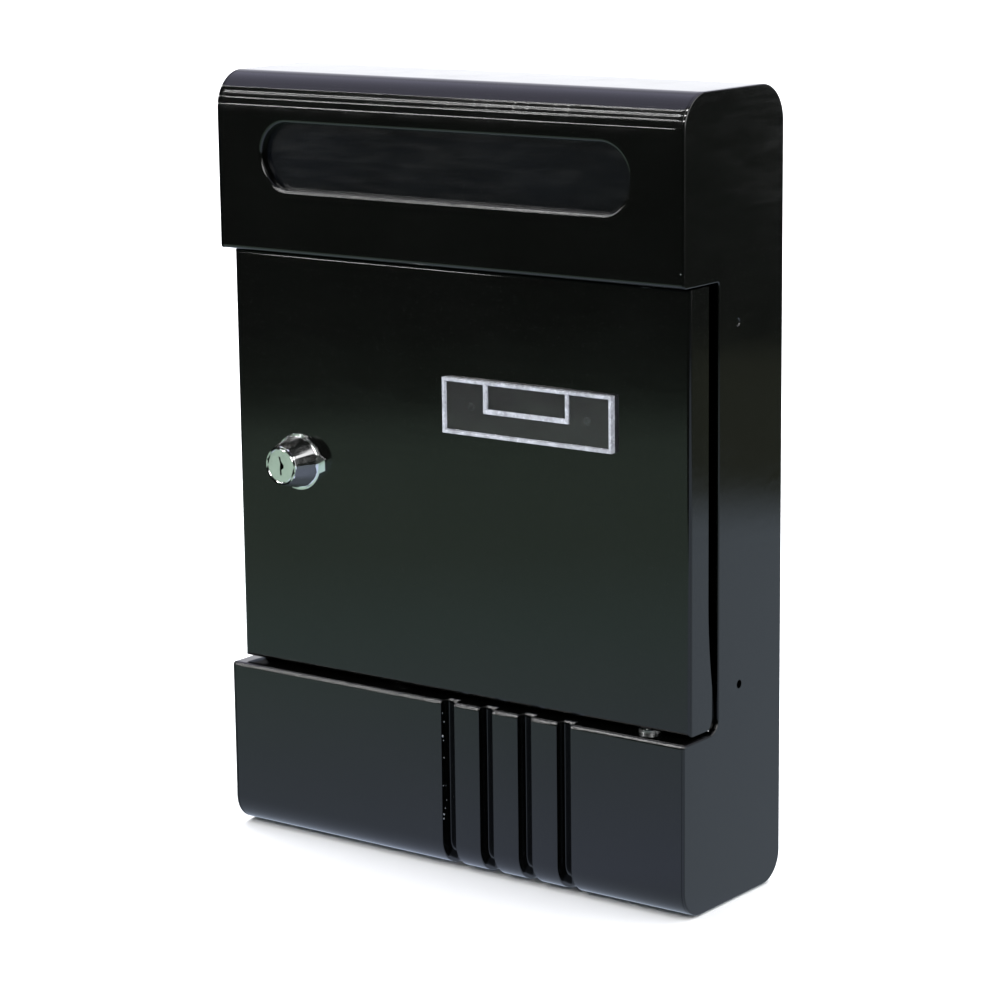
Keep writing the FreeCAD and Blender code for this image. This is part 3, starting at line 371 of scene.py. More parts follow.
def finish_piece(
    name: str, mesh: BMesh, paint: Paintshop, body: Body, slot: Slot, nodes: Iterable[str] = ()
) -> Object:
    """Turn a bmesh into a smooth piece that rides on its body.

    Args:
        name: The piece's name.
        mesh: Its geometry, in place; it is freed.
        paint: The finishes.
        body: The body it rides on.
        slot: The record's slot for its finish.
        nodes: CAD nodes that it stands for.

    Returns:
        The object.
    """
    piece = to_object(name, mesh, paint[slot])
    for polygon in piece.data.polygons:
        polygon.use_smooth = True
    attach(piece, body.value)
    if nodes:
        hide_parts(*nodes)
    log.info("%s: %d vertices on %s", name, len(piece.data.vertices), body.value)
    return piece


def thicken(piece: Object, wall: float) -> None:
    """Give a skin its sheet thickness, inwards."""
    modifier = piece.modifiers.new("sheet", "SOLIDIFY")
    modifier.thickness, modifier.offset = wall, -1.0
    modifier.use_even_offset = True


def soften(piece: Object, width: float, angle: float = 40.0) -> None:
    """Round a piece's sharp edges and weight its normals.

    Args:
        piece: The piece.
        width: The width of the rounding, in metres.
        angle: The sharpest angle left alone, in degrees.
    """
    modifier = piece.modifiers.new("soft_edges", "BEVEL")
    modifier.width, modifier.segments = width, 2
    modifier.limit_method, modifier.angle_limit = "ANGLE", math.radians(angle)
    modifier.use_clamp_overlap = True
    weight_normals(piece)


def weight_normals(piece: Object) -> None:
    """Let large faces rule the shading."""
    modifier = piece.modifiers.new("weighted", "WEIGHTED_NORMAL")
    modifier.keep_sharp = True


def crisp(piece: Object, degrees: float) -> None:
    """Keep the edges sharp where faces meet at more than an angle, and weight the normals."""
    mesh = bmesh.new()
    mesh.from_mesh(piece.data)
    limit = math.radians(degrees)
    for edge in mesh.edges:
        edge.smooth = edge.is_manifold and edge.calc_face_angle(0.0) < limit
    mesh.to_mesh(piece.data)
    mesh.free()
    weight_normals(piece)


class SheetLine:
    """A line of sheet in the YZ plane, laid down as a folding brake does: runs and bends."""

    def __init__(self, mesh: BMesh, start: tuple[float, float], heading: float, x: float = 0.0) -> None:
        """Start a line.

        Args:
            mesh: The bmesh it is drawn in.
            start: Its first point (y, z).
            heading: Its direction in degrees, 0 along +Y and 90 along +Z.
            x: Its place along X.
        """
        self.mesh = mesh
        self.tip = mesh.verts.new((x, *start))
        self.first = self.tip
        self.heading = heading
        self.edges: list[BMEdge] = []

    def direction(self, turn: float = 0.0) -> Vector:
        """The unit vector of the heading, turned by some degrees."""
        angle = math.radians(self.heading + turn)
        return Vector((0.0, math.cos(angle), math.sin(angle)))

    def run(self, length: float) -> "SheetLine":
        """Go straight on by a length."""
        made = bmesh.ops.extrude_vert_indiv(self.mesh, verts=[self.tip])
        self.tip = made["verts"][0]
        self.tip.co += self.direction() * length
        self.edges += made["edges"]
        return self

    def bend(self, radius: float, degrees: float, steps: int = 8) -> "SheetLine":
        """Turn by an angle, left if it is positive.

        Args:
            radius: The outside radius.
            degrees: The angle.
            steps: Edges round it.

        Returns:
            The line.
        """
        side = math.copysign(90.0, degrees)
        centre = self.tip.co + self.direction(side) * radius
        before = set(self.mesh.edges)
        turn = {"axis": X_AXIS, "angle": math.radians(degrees), "steps": steps}
        made = bmesh.ops.spin(self.mesh, geom=[self.tip], cent=centre, use_duplicate=False, **turn)
        self.tip = next(item for item in made["geom_last"] if isinstance(item, BMVert))
        self.edges += [edge for edge in self.mesh.edges if edge not in before]
        self.heading += degrees
        return self

    def close(self) -> "SheetLine":
        """Join the tip to the start."""
        bmesh.ops.pointmerge(self.mesh, verts=[self.first, self.tip], merge_co=self.first.co)
        self.edges = [edge for edge in self.edges if edge.is_valid]
        return self


def draw_out(mesh: BMesh, edges: Sequence[BMEdge], axis: int, place: float) -> list[BMEdge]:
    """Draw edges out to a plane across an axis.

    Args:
        mesh: The bmesh.
        edges: The edges.
        axis: The axis's number.
        place: Where the plane crosses it.

    Returns:
        The edges' copies in that plane.
    """
    made = bmesh.ops.extrude_edge_only(mesh, edges=edges)["geom"]
    ends = {item for item in made if isinstance(item, BMVert)}
    for vert in ends:
        vert.co[axis] = place
    return [item for item in made if isinstance(item, BMEdge) and all(v in ends for v in item.verts)]


def sweep(mesh: BMesh, edges: Sequence[BMEdge], stations: Sequence[float]) -> None:
    """Draw a line out along X through stations.

    Args:
        mesh: The bmesh.
        edges: The line's edges.
        stations: Places along X, in order.
    """
    for vert in {vert for edge in edges for vert in edge.verts}:
        vert.co.x = stations[0]
    current = list(edges)
    for station in stations[1:]:
        current = draw_out(mesh, current, 0, station)


def turn_out(mesh: BMesh) -> None:
    """Turn a swept strip's normals outwards, as its highest face shows."""
    bmesh.ops.recalc_face_normals(mesh, faces=mesh.faces)
    if max(mesh.faces, key=lambda face: face.calc_center_median().z).normal.z < 0:
        bmesh.ops.reverse_faces(mesh, faces=mesh.faces)


def block(mesh: BMesh, low: Vector, high: Vector) -> list[BMVert]:
    """Add a box between two corners."""
    place = Matrix.Translation((low + high) / 2) @ Matrix.Diagonal((*(high - low), 1.0))
    return bmesh.ops.create_cube(mesh, size=1.0, matrix=place)["verts"]


def stadium(
    mesh: BMesh, centre: Vector, half_run: float, radius: float, normal: Vector, steps: int = 64
) -> list[BMEdge]:
    """A round-ended loop, or a circle if its straight part is nothing.

    Args:
        mesh: The bmesh.
        centre: Its centre.
        half_run: Half of its straight part, along X.
        radius: Its ends' radius.
        normal: The direction it faces.
        steps: Edges round a full circle, an even number.

    Returns:
        Its edges.
    """
    turn = normal.to_track_quat("Z", "Y").to_matrix().to_4x4()
    spin = Matrix.Rotation(math.pi / steps, 4, "Z")
    place = Matrix.Translation(centre) @ turn @ spin
    made = bmesh.ops.create_circle(mesh, segments=steps, radius=radius, matrix=place)
    for vert in made["verts"]:
        vert.co.x += math.copysign(half_run, vert.co.x - centre.x)
    return list({edge for vert in made["verts"] for edge in vert.link_edges})


def open_window(
    mesh: BMesh, inside: Callable[[Vector], bool], loops: Sequence[Sequence[BMEdge]], normal: Vector
) -> None:
    """Replace a flat part of a skin by a face with openings.

    Args:
        mesh: The bmesh.
        inside: Whether a face whose centre is given belongs to the flat part.
        loops: The openings' edges.
        normal: The direction the flat part faces.
    """
    old = [face for face in mesh.faces if inside(face.calc_center_median())]
    kept = {edge for face in old for edge in face.edges if sum(f in old for f in edge.link_faces) == 1}
    bmesh.ops.delete(mesh, geom=old, context="FACES_KEEP_BOUNDARY")
    edges = [edge for edge in kept if edge.is_valid] + [edge for loop in loops for edge in loop]
    filled = bmesh.ops.triangle_fill(mesh, use_beauty=True, use_dissolve=False, edges=edges, normal=normal)
    for face in (item for item in filled["geom"] if isinstance(item, BMFace)):
        face.normal_update()
        if face.normal.dot(normal) < 0:
            face.normal_flip()


def ease(value: float) -> float:
    """A smooth step from 0 to 1."""
    value = min(max(value, 0.0), 1.0)
    return value * value * (3 - 2 * value)


# ---------------------------------------------------------------- housing


@dataclass
class HousingWrap:
    """The folded strip: shelves, front panels, top, back and bottom, with its letter slot."""

    seam: float = 0.1 * MM
    wall: float = 0.8 * MM
    top_bend: float = 14.0 * MM
    foot_bend: float = 11.0 * MM
    fold: float = 1.6 * MM
    lip_z: float = 82.0 * MM
    shelf_z: float = -83.5 * MM
    shelf_depth: float = 22.0 * MM
    slot_centre: tuple[float, float] = (-1.0 * MM, 119.0 * MM)
    slot_run: float = 72.4 * MM
    slot_radius: float = 12.6 * MM
    slot_roll: float = 1.5 * MM
    slot_lip: float = 3.6 * MM
    slot_beside: float = 16.0 * MM
    slot_below: float = 16.6 * MM
    slot_above: float = 15.6 * MM
    groove_places: tuple[float, ...] = (0.0, 18.0 * MM, 36.0 * MM, 54.0 * MM)
    groove_half: float = 3.1 * MM
    groove_depth: float = 4.7 * MM
    groove_section: tuple[tuple[float, float], ...] = (
        (0.0, 1.0), (0.45, 1.0), (0.78, 1.0), (0.88, 0.98), (0.94, 0.88),
        (0.97, 0.50), (1.0, 0.10), (1.04, 0.02), (1.10, 0.0),
    )
    crease_tilts: tuple[float, ...] = (6.8, 19.0, 27.5, 36.2)
    crease_height: float = 0.10 * MM
    crease_half: float = 0.45 * MM
    crease_middles: tuple[float, ...] = (12.9, 23.2, 31.8)
    crease_fade: tuple[float, float, float] = (4.0, 40.0, 12.0)
    crease_end: float = 3.0 * MM
    groove_fade: tuple[float, float] = (68.0, 24.0)
    bolt: tuple[float, float] = (75.0 * MM, 100.0 * MM)
    bolt_radius: float = 2.5 * MM
    bolt_window: float = 7.0 * MM

    def __post_init__(self) -> None:
        """Read the strip's box from the frame."""
        self.low, self.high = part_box("body_wrap")
        self.front, self.top, self.foot = self.low.y, self.high.z, self.low.z

    def line(self, mesh: BMesh) -> SheetLine:
        """Draw the strip's side line, from the upper shelf round the back to the lower shelf."""
        fold, depth = self.fold, self.shelf_depth - self.fold
        line = SheetLine(mesh, (self.front + self.shelf_depth, self.lip_z), 180.0)
        line.run(depth * 0.7).run(depth * 0.3).bend(fold, -90.0, 6)
        heights = [self.slot_centre[1] - self.slot_below, self.slot_centre[1] + self.slot_above]
        at = self.lip_z + fold
        for height in (*heights, self.top - self.top_bend):
            line.run(height - at)
            at = height
        self.top_curve(line)
        line.run(self.high.y - self.front - 2 * self.top_bend).bend(self.top_bend, -90.0, 12)
        at = self.top - self.top_bend
        marks = [sign * self.bolt[1] + side * self.bolt_window for sign in (1, -1) for side in (1, -1)]
        for height in (*marks, self.foot + self.foot_bend):
            line.run(at - height)
            at = height
        line.bend(self.foot_bend, -90.0, 12).run(self.high.y - self.front - 2 * self.foot_bend)
        line.bend(self.foot_bend, -90.0, 14)
        rise = self.shelf_z - fold - (self.foot + self.foot_bend)
        for part in (0.1, 0.35, 0.35, 0.2):
            line.run(rise * part)
        line.bend(fold, -90.0, 6).run(depth * 0.3).run(depth * 0.7)
        return line

    def top_curve(self, line: SheetLine) -> None:
        """Draw the top front bend, with a close set of edges at each brake crease."""
        reach = math.degrees(self.crease_half / self.top_bend)
        stops = {0.0, 90.0}
        for tilt in self.crease_tilts:
            stops |= {tilt + part * reach for part in (-1.0, -0.5, 0.0, 0.5, 1.0)}
        stops |= {45.0 + 7.5 * step for step in range(6)} | set(self.crease_middles)
        ordered = sorted(stops)
        for low, high in zip(ordered, ordered[1:]):
            line.bend(self.top_bend, -(high - low), 1)

    def stations(self) -> list[float]:
        """Places along X where the strip has a row of vertices."""
        end = self.high.x - self.seam
        places = {sign * (end - step * MM) for sign in (-1, 1) for step in (0.0, 0.15, 0.4, 1.5, 3.0, 6.0)}
        places |= {step * 10.0 * MM for step in range(-9, 0)} | {70.0 * MM, 80.0 * MM}
        places |= {sign * self.bolt[0] + side * self.bolt_window for sign in (-1, 1) for side in (-1, 1)}
        places |= {self.slot_centre[0] + sign * (self.slot_run + self.slot_beside) for sign in (-1, 1)}
        for centre in self.groove_places:
            for part, _ in self.groove_section:
                places |= {centre + sign * self.groove_half * part for sign in (-1, 1)}
            places.add(centre + 9.0 * MM)
        ordered = sorted(places)
        return [a for a, b in zip(ordered, [*ordered[1:], 1.0]) if b - a > 0.04 * MM]

    def press_grooves(self, mesh: BMesh) -> None:
        """Push the four grooves into the lower panel, round its bottom bend and through its rim."""
        bend_y, bend_z = self.front + self.foot_bend, self.foot + self.foot_bend
        for vert in mesh.verts:
            y, z = vert.co.y, vert.co.z
            on_shelf = z > self.shelf_z - MM and y > self.front + 3 * MM
            if z > self.shelf_z + MM or y > bend_y + MM or on_shelf:
                continue
            off = min(abs(vert.co.x - centre) for centre in self.groove_places) / self.groove_half
            if off >= self.groove_section[-1][0]:
                continue
            depth = self.groove_depth * min(self.groove_section, key=lambda point: abs(point[0] - off))[1]
            if z < bend_z:
                tilt = math.atan2(bend_z - z, bend_y - y)
                start, span = self.groove_fade
                fade = 1.0 - ease((math.degrees(tilt) - start) / span)
                vert.co += Vector((0.0, math.cos(tilt), math.sin(tilt))) * depth * fade
            else:
                vert.co.y += depth

    def raise_creases(self, mesh: BMesh) -> None:
        """Sink the top bend a little between its brake creases, which fade near both ends."""
        centre_y, centre_z = self.front + self.top_bend, self.top - self.top_bend
        end = self.high.x - self.seam
        reach = math.degrees(self.crease_half / self.top_bend)
        for vert in mesh.verts:
            out = Vector((0.0, vert.co.y - centre_y, vert.co.z - centre_z))
            if out.y > 0 or out.z < -0.01 * MM or out.length < self.top_bend * 0.9:
                continue
            tilt = math.degrees(math.atan2(out.z, -out.y))
            near = min(abs(tilt - crease) for crease in self.crease_tilts) / reach
            rise, start, span = self.crease_fade
            sunk = ease(min(near, 1.0)) * ease(tilt / rise) * (1.0 - ease((tilt - start) / span))
            along = ease((end - abs(vert.co.x)) / self.crease_end)
            vert.co -= out.normalized() * self.crease_height * sunk * along

    def roll_slot(self, mesh: BMesh) -> None:
        """Open the letter slot and roll its edge inwards."""
        x, z = self.slot_centre
        steps = 6
        loops = []
        for step in range(steps + 1):
            angle = math.radians(90.0 * step / steps)
            grow = self.slot_roll * (1.0 - math.sin(angle))
            y = self.front + self.slot_roll * (1.0 - math.cos(angle))
            loops.append(stadium(mesh, Vector((x, y, z)), self.slot_run, self.slot_radius + grow, -Y_AXIS))
        last = Vector((x, self.front + self.slot_lip, z))
        loops.append(stadium(mesh, last, self.slot_run, self.slot_radius, -Y_AXIS))
        half_x, half_z = self.slot_run + self.slot_beside, self.slot_above

        def inside(centre: Vector) -> bool:
            """Whether a face lies on the panel round the slot."""
            near = abs(centre.x - x) < half_x and abs(centre.z - z) < half_z
            return near and centre.y < self.front + 0.1 * MM

        open_window(mesh, inside, [loops[0]], -Y_AXIS)
        for first, second in zip(loops, loops[1:]):
            bmesh.ops.bridge_loops(mesh, edges=[*first, *second])

    def drill_back(self, mesh: BMesh) -> None:
        """Open the four wall holes."""
        for sign_x in (-1, 1):
            for sign_z in (-1, 1):
                centre = Vector((sign_x * self.bolt[0], self.high.y, sign_z * self.bolt[1]))
                loop = stadium(mesh, centre, 0.0, self.bolt_radius, Y_AXIS, 24)

                def inside(at: Vector, centre: Vector = centre) -> bool:
                    """Whether a face lies round this hole."""
                    near = max(abs(at.x - centre.x), abs(at.z - centre.z)) < self.bolt_window
                    return near and at.y > self.high.y - 0.1 * MM

                open_window(mesh, inside, [loop], Y_AXIS)

    def curl_ends(self, mesh: BMesh) -> None:
        """Ease the strip's two cut edges inwards, so that the seams catch the light."""
        end = self.high.x - self.seam
        for vert in mesh.verts:
            drop = {0.0: 0.22, 0.15: 0.07}.get(round((end - abs(vert.co.x)) / MM, 2))
            if drop is None:
                continue
            y, z = vert.co.y, vert.co.z
            inner = (self.clamp(y, self.front, self.high.y), self.clamp(z, self.foot, self.top))
            away = Vector((0.0, y - inner[0], z - inner[1]))
            if away.length > 0:
                vert.co -= away.normalized() * drop * MM

    def clamp(self, value: float, low: float, high: float) -> float:
        """A value held inside the strip's box by the foot bend's radius."""
        return min(max(value, low + self.foot_bend), high - self.foot_bend)

    def make(self, paint: Paintshop) -> Object:
        """Build the strip.

        Args:
            paint: The finishes.

        Returns:
            The piece.
        """
        mesh = bmesh.new()
        sweep(mesh, self.line(mesh).edges, self.stations())
        bmesh.ops.remove_doubles(mesh, verts=mesh.verts, dist=WELD)
        turn_out(mesh)
        self.roll_slot(mesh)
        self.drill_back(mesh)
        self.raise_creases(mesh)
        self.press_grooves(mesh)
        self.curl_ends(mesh)
        mesh.normal_update()
        piece = finish_piece("wrap", mesh, paint, Body.HOUSING, Slot.ENAMEL, ["body_wrap"])
        thicken(piece, self.wall)
        weight_normals(piece)
        return piece


@dataclass
class EndCap:
    """A pressed end cap: a plate with a rounded rim and a flange inside the strip."""

    side: Side
    wall: float = 1.0 * MM
    round_rim: float = 0.5 * MM
    top_bend: float = 14.0 * MM
    foot_bend: float = 11.0 * MM
    notch_back: float = 22.5 * MM
    notch_corner: float = 5.5 * MM
    shoulder: float = 1.2 * MM
    lip_z: float = 82.0 * MM
    notch_low: float = -83.55 * MM
    flange: float = 10.0 * MM
    strip_wall: float = 0.8 * MM
    hole: tuple[float, float] = (-28.6 * MM, -68.3 * MM)
    dimple: tuple[float, float] = (-30.3 * MM, 66.2 * MM)
    hole_radius: float = 1.6 * MM
    dimple_depth: float = 0.4 * MM
    dimple_floor: float = 0.75
    flange_drop: float = 0.75 * MM

    def __post_init__(self) -> None:
        """Read the cap's box from the frame."""
        self.node = f"{self.side.name.lower()}_end_cap"
        self.low, self.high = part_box(self.node)
        self.sign = self.side.value
        self.outer = self.high.x if self.sign > 0 else self.low.x
        self.inner = self.outer - self.sign * self.wall

    def outline(self, mesh: BMesh, x: float) -> SheetLine:
        """Draw the plate's outline, with the doorway notch, anticlockwise seen from +X."""
        front, back, foot, top = self.low.y, self.high.y, self.low.z, self.high.z
        low_bend, high_bend, corner, soft = self.foot_bend, self.top_bend, self.notch_corner, self.shoulder
        line = SheetLine(mesh, (front + low_bend, foot), 0.0, x)
        line.run(back - front - 2 * low_bend).bend(low_bend, 90.0, 12)
        line.run(top - foot - low_bend - high_bend).bend(high_bend, 90.0, 12)
        line.run(back - front - 2 * high_bend).bend(high_bend, 90.0, 16)
        line.run(top - high_bend - self.lip_z - soft).bend(soft, 90.0, 5)
        line.run(self.notch_back - 2 * soft).bend(soft, -90.0, 5)
        line.run(self.lip_z - soft - self.notch_low - corner).bend(corner, -90.0, 8)
        line.run(self.notch_back - corner - soft).bend(soft, 90.0, 5)
        line.run(self.notch_low - soft - foot - low_bend).bend(low_bend, 90.0, 12)
        return line.close()

    def plate(self) -> BMesh:
        """Press the plate: an outline drawn out and inset round its rim, with a hole and a dimple."""
        mesh = bmesh.new()
        line = self.outline(mesh, self.inner)
        bmesh.ops.remove_doubles(mesh, verts=mesh.verts, dist=WELD)
        face = mesh.faces.new(self.ring(line.first))
        face.normal_update()
        if face.normal.x * self.sign > 0:
            face.normal_flip()
        first = bmesh.ops.extrude_face_region(mesh, geom=[face], use_keep_orig=True)["geom"]
        cap = next(item for item in first if isinstance(item, BMFace))
        step = self.sign * (self.wall - self.round_rim)
        for vert in cap.verts:
            vert.co.x += step
        cap.normal_update()
        if cap.normal.x * self.sign < 0:
            cap.normal_flip()
        steps = 5
        angles = [math.radians(90.0 * k / steps) for k in range(steps + 1)]
        for a, b in zip(angles, angles[1:]):
            thickness = self.round_rim * (math.cos(a) - math.cos(b))
            before = {vert: vert.co.x for vert in cap.verts}
            bmesh.ops.inset_region(mesh, faces=[cap], thickness=thickness, use_even_offset=True)
            rise = self.sign * self.round_rim * (math.sin(b) - math.sin(a))
            level = next(iter(before.values())) + rise
            for vert in cap.verts:
                vert.co.x = level
        bmesh.ops.recalc_face_normals(mesh, faces=mesh.faces)
        self.mark(mesh, cap)
        return mesh

    def ring(self, start: BMVert) -> list[BMVert]:
        """The outline's vertices in order, from its first one."""
        ring, edge = [start], start.link_edges[0]
        while True:
            following = edge.other_vert(ring[-1])
            if following is start:
                return ring
            ring.append(following)
            edge = next(e for e in following.link_edges if e is not edge)

    def mark(self, mesh: BMesh, cap: BMFace) -> None:
        """Cut the paint hanging hole through the plate and press the dimple."""
        facing = X_AXIS * self.sign
        hole_out = self.round_mark(mesh, self.hole, self.outer)
        hole_in = self.round_mark(mesh, self.hole, self.inner)
        dimple = self.round_mark(mesh, self.dimple, self.outer)
        floor_level = self.outer - self.sign * self.dimple_depth
        floor = self.round_mark(mesh, self.dimple, floor_level, self.dimple_floor)
        inner_level, outer_level = self.inner, self.outer

        def on_outside(at: Vector) -> bool:
            """Whether a face is the plate's flat outside."""
            return abs(at.x - outer_level) < 0.01 * MM

        def on_inside(at: Vector) -> bool:
            """Whether a face is the plate's inside."""
            return abs(at.x - inner_level) < 0.01 * MM

        open_window(mesh, on_outside, [hole_out, dimple], facing)
        open_window(mesh, on_inside, [hole_in], -facing)
        bmesh.ops.bridge_loops(mesh, edges=[*hole_out, *hole_in])
        bmesh.ops.bridge_loops(mesh, edges=[*dimple, *floor])
        bmesh.ops.contextual_create(mesh, geom=floor)

    def round_mark(
        self, mesh: BMesh, place: tuple[float, float], x: float, part: float = 1.0
    ) -> list[BMEdge]:
        """A circle on the plate at (y, z)."""
        return stadium(mesh, Vector((x, *place)), 0.0, self.hole_radius * part, X_AXIS, 24)

    def flange_strip(self) -> BMesh:
        """Fold the flange that stands inside the strip."""
        gap = self.strip_wall
        front, back, foot, top = self.low.y + gap, self.high.y - gap, self.low.z + gap, self.high.z - gap
        low_bend, high_bend = self.foot_bend - gap, self.top_bend - gap
        mesh = bmesh.new()
        start = self.notch_low - self.flange_drop
        line = SheetLine(mesh, (front, start), -90.0)
        line.run(start - foot - low_bend).bend(low_bend, 90.0, 10)
        line.run(back - front - 2 * low_bend).bend(low_bend, 90.0, 10)
        line.run(top - foot - low_bend - high_bend).bend(high_bend, 90.0, 12)
        line.run(back - front - 2 * high_bend).bend(high_bend, 90.0, 12)
        line.run(top - high_bend - self.lip_z - gap)
        root = self.inner
        sweep(mesh, line.edges, [root - self.sign * self.flange, root])
        turn_out(mesh)
        bmesh.ops.solidify(mesh, geom=[*mesh.faces, *mesh.edges, *mesh.verts], thickness=self.wall)
        bmesh.ops.recalc_face_normals(mesh, faces=mesh.faces)
        return mesh

    def make(self, paint: Paintshop) -> Object:
        """Build the cap.

        Args:
            paint: The finishes.

        Returns:
            The piece.
        """
        mesh, strip = self.plate(), self.flange_strip()
        bmesh.ops.recalc_face_normals(mesh, faces=mesh.faces)
        spare = bpy.data.meshes.new("flange_strip")
        strip.to_mesh(spare)
        strip.free()
        mesh.from_mesh(spare)
        bpy.data.meshes.remove(spare)
        name = f"{self.side.name.lower()}_cap"
        piece = finish_piece(name, mesh, paint, Body.HOUSING, Slot.ENAMEL, [self.node])
        crisp(piece, 35.0)
        return piece


# ---------------------------------------------------------------- door


@dataclass
class DoorPanel:
    """The door: a shallow pan whose side flanges deepen to a rounded heel."""

    wall: float = 0.8 * MM
    fold: float = 1.6 * MM
    depth: float = 12.0 * MM
    heel_start: float = -34.0 * MM
    heel_corner: float = 2.85 * MM
    lock: tuple[float, float, float] = (-75.5 * MM, 0.0, 9.1 * MM)
    pegs: tuple[tuple[float, float, float], ...] = (
        (9.0 * MM, 29.95 * MM, 1.6 * MM), (61.7 * MM, 29.95 * MM, 1.6 * MM),
    )

    def __post_init__(self) -> None:
        """Read the door's box from the frame."""
        self.low, self.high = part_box("door_panel")

    def rear(self, z: float) -> float:
        """How far back the side flange reaches at a height."""
        rear, heel = self.low.y + self.depth, self.high.y
        if z >= self.heel_start:
            return rear
        fall = self.heel_start - (self.low.z + self.heel_corner)
        radius = ((heel - rear) ** 2 + fall**2) / (2 * (heel - rear))
        down = min(self.heel_start - z, fall)
        back = rear + radius - math.sqrt(radius**2 - down**2)
        under = self.low.z + self.heel_corner - z
        if under > 0:
            back += math.sqrt(max(self.heel_corner**2 - under**2, 0.0)) - self.heel_corner
        return back

    def make(self, paint: Paintshop) -> Object:
        """Build the door.

        Args:
            paint: The finishes.

        Returns:
            The piece.
        """
        mesh = bmesh.new()
        block(mesh, self.low, self.high)
        back = [face for face in mesh.faces if face.normal.y > 0.5]
        bmesh.ops.delete(mesh, geom=back, context="FACES_ONLY")
        front = next(face for face in mesh.faces if face.normal.y < -0.5)
        rounding = {"offset": self.fold, "offset_type": "OFFSET", "segments": 6, "profile": 0.5}
        bmesh.ops.bevel(mesh, geom=list(front.edges), affect="EDGES", material=-1, **rounding)
        self.slice_flanges(mesh)
        face_level = self.low.y
        loops = [
            stadium(mesh, Vector((x, face_level, z)), 0.0, radius, -Y_AXIS, 32)
            for x, z, radius in (self.lock, *self.pegs)
        ]

        def inside(at: Vector) -> bool:
            """Whether a face is the upper part of the door's front."""
            return abs(at.y - face_level) < 0.01 * MM and at.z > self.heel_start

        open_window(mesh, inside, loops, -Y_AXIS)
        piece = finish_piece("door", mesh, paint, Body.DOOR, Slot.ENAMEL, ["door_panel"])
        thicken(piece, self.wall)
        soften(piece, 0.22 * MM, 60.0)
        return piece

    def slice_flanges(self, mesh: BMesh) -> None:
        """Cut rows across the pan and draw its rear edge to the heel's curve."""
        corner = self.low.z + self.heel_corner
        rows = [self.heel_start - step * (self.heel_start - corner) / 12 for step in range(13)]
        rows += [corner - self.heel_corner * math.sin(math.radians(15 * step)) for step in range(1, 6)]
        for z in rows:
            whole = [*mesh.verts, *mesh.edges, *mesh.faces]
            bmesh.ops.bisect_plane(mesh, geom=whole, dist=WELD, plane_co=(0, 0, z), plane_no=Z_AXIS)
        for vert in mesh.verts:
            if vert.co.y > self.high.y - 0.01 * MM:
                vert.co.y = self.rear(vert.co.z)


# ---------------------------------------------------------------- lock


